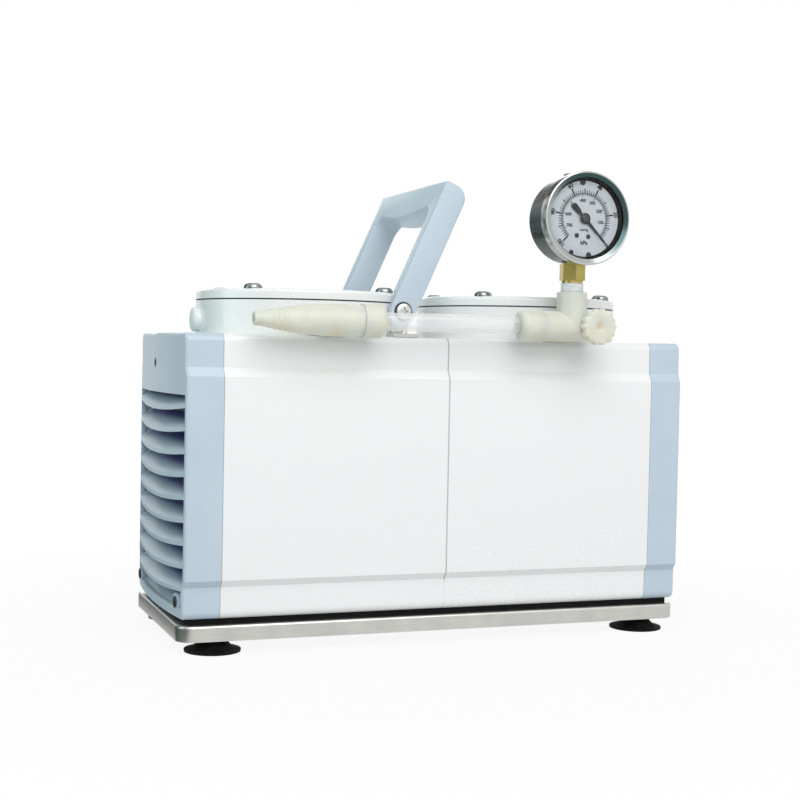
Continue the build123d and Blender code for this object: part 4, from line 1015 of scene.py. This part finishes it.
# %% Dial screws and rim notches
build = bmesh.new()
for x, z in ((-4.6, -9.6), (2.6, -10.0)):
    place_on_dial = Vector((gauge.x + x * mm, dial_face, gauge.z + z * mm))
    turn(build, screw_outline(1.35 * mm, 0.5 * mm), place_on_dial, (0, -1, 0), 48)
closed_piece("dial_screws", build, "pump", "gauge_steel")

build = bmesh.new()
for angle, size in ((94, 1.9 * mm), (-81, 1.7 * mm), (-112, 1.4 * mm), (62, 1.1 * mm)):
    centre = on_dial(20.6 * mm, radians(angle), dial_face)
    notch = [(0.0, 0.0), (0.0, size), (0.25 * mm, size * 0.9), (0.25 * mm, 0.0)]
    turn(build, notch, centre, (0, -1, 0), 40)
closed_piece("dial_notches", build, "pump", "pointer_black")
print("dial screws and notches made")

# %% [markdown]
# ## The pointer
# A stamped pointer has a long thin blade, a broad tail that balances it, and a turned hub pressed on its
# arbor. The blade is flat, so it is an outline with a thickness, and the hub is round, so it is turned. All
# of it rides on the needle's body, so it turns with that joint.

# %% Make the pointer
blade_y = dial_face - 0.7 * mm
blade_thickness = 0.5 * mm
blade_reach = 18.6
blade = [
    (blade_reach, 0.18), (4.0, 0.85), (2.6, 1.1), (-2.4, 1.15),
    (-3.6, 0.75), (-6.0, 1.5), (-10.2, 1.75), (-10.6, 1.2),
]
edge = [*blade, *[(x, -w) for x, w in reversed(blade)]]
build = bmesh.new()
faces = []
for y in (blade_y, blade_y - blade_thickness):
    ring = []
    for x, w in edge:
        out_x = x * cos(zero_angle) - w * sin(zero_angle)
        out_z = x * sin(zero_angle) + w * cos(zero_angle)
        turned = Vector((out_x, 0, out_z)) * mm
        ring.append(build.verts.new(Vector((gauge.x, y, gauge.z)) + turned))
    faces.append(ring)
build.faces.new(faces[0])
build.faces.new(faces[1])
for step in range(len(edge)):
    after = (step + 1) % len(edge)
    build.faces.new((faces[0][step], faces[0][after], faces[1][after], faces[1][step]))
print("blade", len(edge), "points")

# %% Turn the pointer's hub and cap
hub_height = 0.45 * mm
hub_seat = Vector((gauge.x, blade_y - blade_thickness, gauge.z))
hub = [(0.0, 0.0), (0.0, 3.1 * mm), (0.35 * mm, 3.1 * mm), (hub_height, 2.9 * mm), (hub_height, 0.0)]
turn(build, hub, hub_seat, (0, -1, 0), 64)
arbor_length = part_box("gauge_pointer")[1].y - hub_seat.y
arbor = [(0.0, 0.0), (0.0, 0.9 * mm), (arbor_length, 0.9 * mm), (arbor_length, 0.0)]
turn(build, arbor, hub_seat, (0, 1, 0), 32)
bmesh.ops.recalc_face_normals(build, faces=build.faces)
closed_piece("pointer_blade", build, "needle", "pointer_black", ["gauge_pointer"])

build = bmesh.new()
cap = [
    (0.0, 0.0), (0.0, 1.9 * mm), (0.2 * mm, 1.8 * mm),
    (0.45 * mm, 1.0 * mm), (0.38 * mm, 0.5 * mm), (0.38 * mm, 0.0),
]
turn(build, cap, hub_seat - Vector((0, hub_height, 0)), (0, -1, 0), 64)
closed_piece("pointer_cap", build, "needle", "gauge_steel")
print("pointer reach", blade_reach)

# %% [markdown]
# ## Bezel and seal
# The bezel is spun sheet: its front edge is rolled, and a thin lip turns in over the window. A ring with
# bevelled edges would miss the roll, so its whole section is drawn and swept. A black seal ring lies behind
# the window, against the dial's edge.

# %% Spin the bezel
bezel_radius = (bezel_high.x - bezel_low.x) / 2
front = bezel_low.y
back = bezel_high.y
lip = 22.9 * mm
edge_round = 0.75 * mm
case_low, case_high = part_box("gauge_case")
case_radius = (case_high.x - case_low.x) / 2 + 0.05 * mm
outline = [(0.0, case_radius), (0.0, bezel_radius - 0.5 * mm), (0.4 * mm, bezel_radius)]
depth = back - front
rolled = [
    (depth - edge_round + edge_round * sin(a), bezel_radius - edge_round + edge_round * cos(a))
    for a in (radians(15 * k) for k in range(10))
]
inward = [(depth - 0.95 * mm, lip + 0.25 * mm), (depth - 1.10 * mm, lip)]
under_lip = [(depth - 1.18 * mm, lip + 0.4 * mm), (depth - 1.18 * mm, case_radius)]
build = bmesh.new()
section = [*outline, *rolled, *inward, *under_lip, outline[0]]
turn(build, section, Vector((gauge.x, back, gauge.z)), (0, -1, 0), 160)
closed_piece("bezel_spun", build, "pump", "gauge_steel", ["gauge_bezel"], "bezel_steel")

print("bezel radius", round(bezel_radius / mm, 2), "depth", round(depth / mm, 2))

# %% Turn the seal
window_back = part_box("gauge_window")[1].y
build = bmesh.new()
seal_depth = dial_face - window_back - 0.1 * mm
seal = [
    (0.0, 21.3 * mm), (0.0, 23.6 * mm), (seal_depth, 23.6 * mm), (seal_depth, lip), (0.0, 21.3 * mm),
]
turn(build, seal, Vector((gauge.x, dial_face - 0.02 * mm, gauge.z)), (0, -1, 0), 120)
closed_piece("window_seal", build, "pump", "gasket_rubber", finish="black_rubber")
print("seal depth", round(seal_depth / mm, 2))

# %% [markdown]
# ## Hose nozzle
# The nozzle is one moulding: a long taper with shallow barbs for the hose, a body, and a leg that runs back
# into the head. A plain cone would look too lean, so the taper is a curve that fills out quickly. Both parts
# are turned, because both are round.

# %% Measure the nozzle
nozzle_low, nozzle_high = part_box("inlet_nozzle")
tube_low, tube_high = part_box("link_tube")
tip = nozzle_low.x
axis_y = (tube_low.y + tube_high.y) / 2
axis_z = (tube_low.z + tube_high.z) / 2
length = tube_low.x - tip
tip_radius = 3.9 * mm
body_radius = 8.75 * mm
bore = 2.6 * mm
land = 4.0 * mm
barbs = 8
taper = 46.0 * mm


def nozzle_radius(x):
    """A taper that fills out quickly and then runs level into the body."""
    t = min(max((x - land) / (taper - land), 0.0), 1.0)
    return tip_radius + (body_radius - tip_radius) * sin(t * pi / 2) ** 0.9


print("nozzle length", round(length / mm, 1))


# %% Turn the nozzle
outline = [
    (6.0 * mm, 0.0), (6.0 * mm, bore), (0.0, bore),
    (0.0, tip_radius - 0.3 * mm), (0.3 * mm, tip_radius), (land, tip_radius),
]
barb_pitch = 2.9 * mm
for number in range(barbs):
    x = land + number * barb_pitch
    outline.append((x + 0.75 * barb_pitch, nozzle_radius(x + 0.75 * barb_pitch) + 0.28 * mm))
    outline.append((x + barb_pitch, nozzle_radius(x + barb_pitch) - 0.12 * mm))
smooth_from = land + barbs * barb_pitch
smooth_steps = 8
for number in range(1, smooth_steps + 1):
    x = smooth_from + (taper - smooth_from) * number / smooth_steps
    outline.append((x, nozzle_radius(x)))
outline += [(length, body_radius), (length, 0.0)]
build = bmesh.new()
turn(build, outline, (tip, axis_y, axis_z), (1, 0, 0), 96)
print("barbs", barbs)

# %% Add the leg to the head
lid_low, lid_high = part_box("head_lid_right")
leg_x = -lid_high.x / 2 - lid_low.x / 2
leg_length = nozzle_high.y - axis_y
leg_radius = 7.0 * mm
spigot_radius = 4.8 * mm
leg = [
    (0.0, 0.0), (0.0, leg_radius), (16.0 * mm, leg_radius), (16.2 * mm, spigot_radius),
    (leg_length, spigot_radius), (leg_length, 0.0),
]
turn(build, leg, (leg_x, axis_y, axis_z), (0, 1, 0), 64)
closed_piece("nozzle_turned", build, "pump", "ivory_plastic", ["inlet_nozzle"], sharp=40.0)
print("leg at", round(leg_x / mm, 1))

# %% [markdown]
# ## Regulator knob
# The knob is moulded with fourteen shallow flutes for the fingers, a rounded rim and a dimple in its face.
# Cutting each flute with a boolean would leave sharp ridges. Its radius changes with the angle instead, so
# the lathe makes the flutes as it turns.

# %% Measure the knob
knob_low, knob_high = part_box("regulator_knob")
knob_back = Vector(((knob_low.x + knob_high.x) / 2, knob_high.y, (knob_low.z + knob_high.z) / 2))
knob_radius = (knob_high.z - knob_low.z) / 2
knob_reach = knob_high.y - knob_low.y
knob_length = 5.3 * mm
flutes = 14
flute = 0.45 * mm


def fluted(inset):
    """The rim's radius at each angle, drawn in by inset."""
    return lambda angle: knob_radius - inset - flute + flute * cos(flutes * angle)


print("flutes", flutes)


# %% Turn the fluted knob
rim_start = knob_reach - knob_length
spindle_radius = 2.5 * mm
outline = [
    (0.0, 0.0), (0.0, spindle_radius), (rim_start, spindle_radius),
    (rim_start, fluted(0.9 * mm)), (rim_start + 0.5 * mm, fluted(0.0)),
    (knob_reach - 1.3 * mm, fluted(0.0)), (knob_reach - 0.6 * mm, fluted(0.25 * mm)),
    (knob_reach - 0.15 * mm, fluted(0.8 * mm)), (knob_reach, fluted(1.6 * mm)),
    (knob_reach, 3.0 * mm), (knob_reach - 0.25 * mm, 2.5 * mm), (knob_reach - 0.9 * mm, 1.5 * mm),
    (knob_reach - 0.9 * mm, 0.0),
]
build = bmesh.new()
turn(build, outline, knob_back, (0, -1, 0), 14 * flutes)
closed_piece("knob_fluted", build, "regulator", "ivory_plastic", ["regulator_knob"], sharp=50.0)
print("knob radius", round(knob_radius / mm, 2))

# %% [markdown]
# ## Exhaust caps and cover screws
# Each head breathes out through a porous plug under a domed white cap. The covers are held by black screws
# with low domes. The cover's face is bowed, so each lower screw's seat is found by a ray cast on to it
# rather than worked out from the bow.

# %% Turn the caps
for side, sign in (("left", -1), ("right", 1)):
    node = "exhaust_silencer_" + side
    low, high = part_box(node)
    reach_out = high.x - low.x
    cap_radius = (high.z - low.z) / 2
    seat = Vector((high.x if sign < 0 else low.x, (low.y + high.y) / 2, (low.z + high.z) / 2))
    neck_radius = 0.85 * cap_radius
    dome_height = 2.0 * mm
    dome_foot = reach_out - 0.7 * mm
    dome = [
        (dome_foot + dome_height * sin(a), cap_radius * cos(a) ** 0.6)
        for a in (radians(9 * k) for k in range(10))
    ]
    outline = [
        (0.0, 0.0), (0.0, neck_radius), (reach_out - 2.0 * mm, neck_radius),
        (reach_out - 1.9 * mm, cap_radius), *dome, (dome_foot + dome_height, 0.0),
    ]
    build = bmesh.new()
    turn(build, outline, seat, (sign, 0, 0), 96)
    closed_piece("exhaust_cap_" + side, build, "pump", "silencer_plastic", [node])
print("cap radius", round(cap_radius / mm, 2))

# %% Turn the cover screws
build = bmesh.new()
for points in islands("cover_screws"):
    low, high = corners(points)
    centre = (low + high) / 2
    sign = 1 if centre.x > 0 else -1
    cover = frame["nodes"]["end_cover_right" if sign > 0 else "end_cover_left"]
    radius = (high.z - low.z) / 2
    inward = -1 if centre.y > radius else 1
    start_point = Vector((sign * 0.3, centre.y + inward * 2.4 * mm, centre.z))
    hit, where, _, _ = cover.ray_cast(start_point, Vector((-sign, 0, 0)))
    top_screw = abs(centre.y) < radius
    tip_x = high.x if sign > 0 else low.x
    seat_x = where.x if hit and not top_screw else tip_x - sign * 0.8 * mm
    head_radius = radius if top_screw else 3.1 * mm
    back = abs(seat_x) - min(abs(low.x), abs(high.x))
    seat = Vector((seat_x, centre.y, centre.z))
    shank = [(-back, 0.0), (-back, 0.9 * radius), (0.0, 0.9 * radius)]
    turn(build, shank + screw_outline(head_radius, 0.7 * mm)[1:], seat, (sign, 0, 0), 64)
    print("cover screw", [round(v / mm, 1) for v in seat], "seated" if hit else "no hit")
closed_piece("cover_screw_set", build, "pump", "black_screws", ["cover_screws"])

# %% [markdown]
# ## Sealing tape
# White film is wound round the thread and squeezed into its grooves, so its outline ripples. A spiral strip
# would be truer, but its step is finer than the ripple that shows, so the outline is swept as rings.

# %% Wind the tape
tape_low, tape_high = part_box("thread_tape")
tape_radius = (tape_high.x - tape_low.x) / 2
tape_height = tape_high.z - tape_low.z
tape_axis = Vector(((tape_low.x + tape_high.x) / 2, (tape_low.y + tape_high.y) / 2, tape_low.z))
pitch_of_turns = 1.3 * mm
ripple_depth = 0.22 * mm
inner_radius = tape_radius - 0.5 * mm
ripple = []
ripple_steps = 60
for step in range(ripple_steps + 1):
    height = tape_height * step / ripple_steps
    wave = ripple_depth * cos(2 * pi * height / pitch_of_turns)
    ripple.append((height, tape_radius - ripple_depth + wave))
outline = [(0.0, inner_radius), *ripple, (tape_height, inner_radius), (0.0, inner_radius)]
build = bmesh.new()
turn(build, outline, tape_axis, (0, 0, 1), 96)
closed_piece("tape_wound", build, "pump", "sealing_tape", ["thread_tape"], sharp=60.0)
print("tape radius", round(tape_radius / mm, 2))

# %% [markdown]
# ## Floor and world
# A pale floor under the pump catches its shadow. Where the camera looks past the pump it sees plain white,
# and so do reflections. Brighter lamps could give that white, but they would wash out the enamel, so it comes
# from the Light Path and not from more light on the object.

# %% Floor
low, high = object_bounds()
middle = (Vector(low) + Vector(high)) / 2
floor_half = 6.0
mesh = bpy.data.meshes.new("floor")
floor_corners = [
    (-floor_half, -floor_half, 0), (floor_half, -floor_half, 0),
    (floor_half, floor_half, 0), (-floor_half, floor_half, 0),
]
mesh.from_pydata(floor_corners, [], [(0, 1, 2, 3)])
floor = bpy.data.objects.new("floor", mesh)
scene.collection.objects.link(floor)
print("floor", floor_half * 2, "m")

# %% The floor's finish
material = bpy.data.materials.new("pale_floor")
material.use_nodes = True
wire = Wire(material.node_tree)
tree = material.node_tree
tree.nodes.remove(tree.nodes["Principled BSDF"])
seen = wire.node("ShaderNodeLightPath", out="Is Camera Ray")
mirrored = wire.node("ShaderNodeLightPath", out="Is Glossy Ray")
through = wire.node("ShaderNodeLightPath", out="Is Transmission Ray")
direct = wire.node("ShaderNodeMath", {"operation": "MINIMUM"}, {0: seen + mirrored + through, 1: 1.0})
matt = wire.node("ShaderNodeBsdfDiffuse", {}, {"Color": (0.74, 0.74, 0.745, 1.0)})
glow = wire.node("ShaderNodeEmission", {}, {"Color": (1.0, 1.0, 1.0, 1.0), "Strength": 1.0})
away = wire.node("ShaderNodeVectorMath", {"operation": "LENGTH"},
                 {0: wire.node("ShaderNodeTexCoord", out="Object")}, out="Value")
fade = wire.node("ShaderNodeMapRange", {"interpolation_type": "SMOOTHSTEP"},
                 {"Value": away, "From Min": 0.12, "From Max": 0.45, "To Min": 0.90, "To Max": 1.0})
mixed = wire.node("ShaderNodeMixShader", {}, {0: direct * fade, 1: matt, 2: glow})
tree.links.new(mixed.socket, tree.nodes["Material Output"].inputs["Surface"])
mesh.materials.append(material)
print("floor finish ready")

# %% World
world = bpy.data.worlds.new("studio")
scene.world = world
world.use_nodes = True
tree = world.node_tree
wire = Wire(tree)
seen = wire.node("ShaderNodeLightPath", out="Is Camera Ray")
mirrored = wire.node("ShaderNodeLightPath", out="Is Glossy Ray")
through = wire.node("ShaderNodeLightPath", out="Is Transmission Ray")
direct = wire.node("ShaderNodeMath", {"operation": "MINIMUM"}, {0: seen + mirrored + through, 1: 1.0})
ambient = 0.38
tree.links.new((direct * (1.0 - ambient) + ambient).socket, tree.nodes["Background"].inputs["Strength"])
tree.nodes["Background"].inputs["Color"].default_value = (1.0, 1.0, 1.0, 1.0)
print("ambient", ambient)

# %% [markdown]
# ## Lamps and cards
# A big soft lamp in front and above lights the pump as a window does, a weak one on the left fills, and one
# behind lights the back. Four small lamps would be as bright but would cast hard shadows. White metal in a
# white room shows no shape, so dark cards stand round it, which only reflections see.


# %% Lamps
def softbox(name, spot, aim, size, watts, tint=(1.0, 1.0, 1.0)):
    """A square area lamp that looks at a point."""
    lamp = bpy.data.lights.new(name, "AREA")
    lamp.shape = "SQUARE"
    lamp.size = size
    lamp.energy = watts
    lamp.color = tint
    holder = bpy.data.objects.new(name, lamp)
    scene.collection.objects.link(holder)
    holder.location = spot
    holder.rotation_euler = (Vector(aim) - Vector(spot)).to_track_quat("-Z", "Y").to_euler()
    return holder


softbox("key", (-0.10, -1.15, 1.20), middle, 1.3, 18.5)
softbox("fill", (-1.40, 0.32, 0.55), middle, 0.8, 3.5, (0.58, 1.0, 0.90))
softbox("rear", (0.40, 1.25, 0.85), middle, 1.1, 8.0)
print("lamps", [lamp.name for lamp in bpy.data.lights])


# %% Dark cards
def dark_card(name, spot, aim, wide, tall):
    """A black card that only metal and glass see, so that their curves read against the white room."""
    mesh = bpy.data.meshes.new(name)
    x, z = wide / 2, tall / 2
    mesh.from_pydata([(-x, 0, -z), (x, 0, -z), (x, 0, z), (-x, 0, z)], [], [(0, 1, 2, 3)])
    card = bpy.data.objects.new(name, mesh)
    scene.collection.objects.link(card)
    card.location = spot
    card.rotation_euler = (Vector(aim) - Vector(spot)).to_track_quat("Y", "Z").to_euler()
    card.visible_camera = False
    card.visible_diffuse = False
    card.visible_transmission = False
    card.visible_shadow = False
    material = bpy.data.materials.new(name)
    material.use_nodes = True
    shader = material.node_tree.nodes["Principled BSDF"]
    shader.inputs["Base Color"].default_value = (0.02, 0.022, 0.022, 1.0)
    shader.inputs["Roughness"].default_value = 0.9
    mesh.materials.append(material)
    return card


def lay_flat(card, x, y):
    """Put a dark card on the floor, just above it."""
    card.rotation_euler = (pi / 2, 0, 0)
    card.location = (x, y, 0.001)


dark_card("card_left", (-0.95, 0.75, 0.45), middle, 1.1, 1.3)
dark_card("card_near", (-1.25, -0.75, 0.45), middle, 0.5, 0.7)
dark_card("card_high", (0.25, 1.10, 1.05), middle, 1.5, 0.55)
lay_flat(dark_card("card_floor", middle, middle, 1.0, 1.5), -0.665, 0.55)
print("cards stand round the pump")

# %% [markdown]
# ## Camera
# The camera stands in front and to the left, a little below the pump's top, and looks very slightly down. A
# tracking constraint would aim it, but its lean and lens would be hard to set, so the matrix is built from
# plain angles, and any one of them can be changed by itself.

# %% Camera
eye = Vector((-0.31294, -0.82062, 0.16535))
yaw = 0.35854
pitch = -0.034089
roll = 0.019788
forward = Vector((sin(yaw) * cos(pitch), cos(yaw) * cos(pitch), sin(pitch)))
level = Vector((cos(yaw), -sin(yaw), 0.0))
upward = level.cross(forward)
right = level * cos(roll) + upward * sin(roll)
above = upward * cos(roll) - level * sin(roll)
lens = bpy.data.cameras.new("camera")
lens.sensor_width = 36.0
lens.lens = 65.15
camera = bpy.data.objects.new("camera", lens)
scene.collection.objects.link(camera)
camera.matrix_world = Matrix((
    (right.x, above.x, -forward.x, eye.x),
    (right.y, above.y, -forward.y, eye.y),
    (right.z, above.z, -forward.z, eye.z),
    (0.0, 0.0, 0.0, 1.0),
))
scene.camera = camera
scene.view_settings.view_transform = "Standard"
print("camera", [round(v, 3) for v in camera.location])
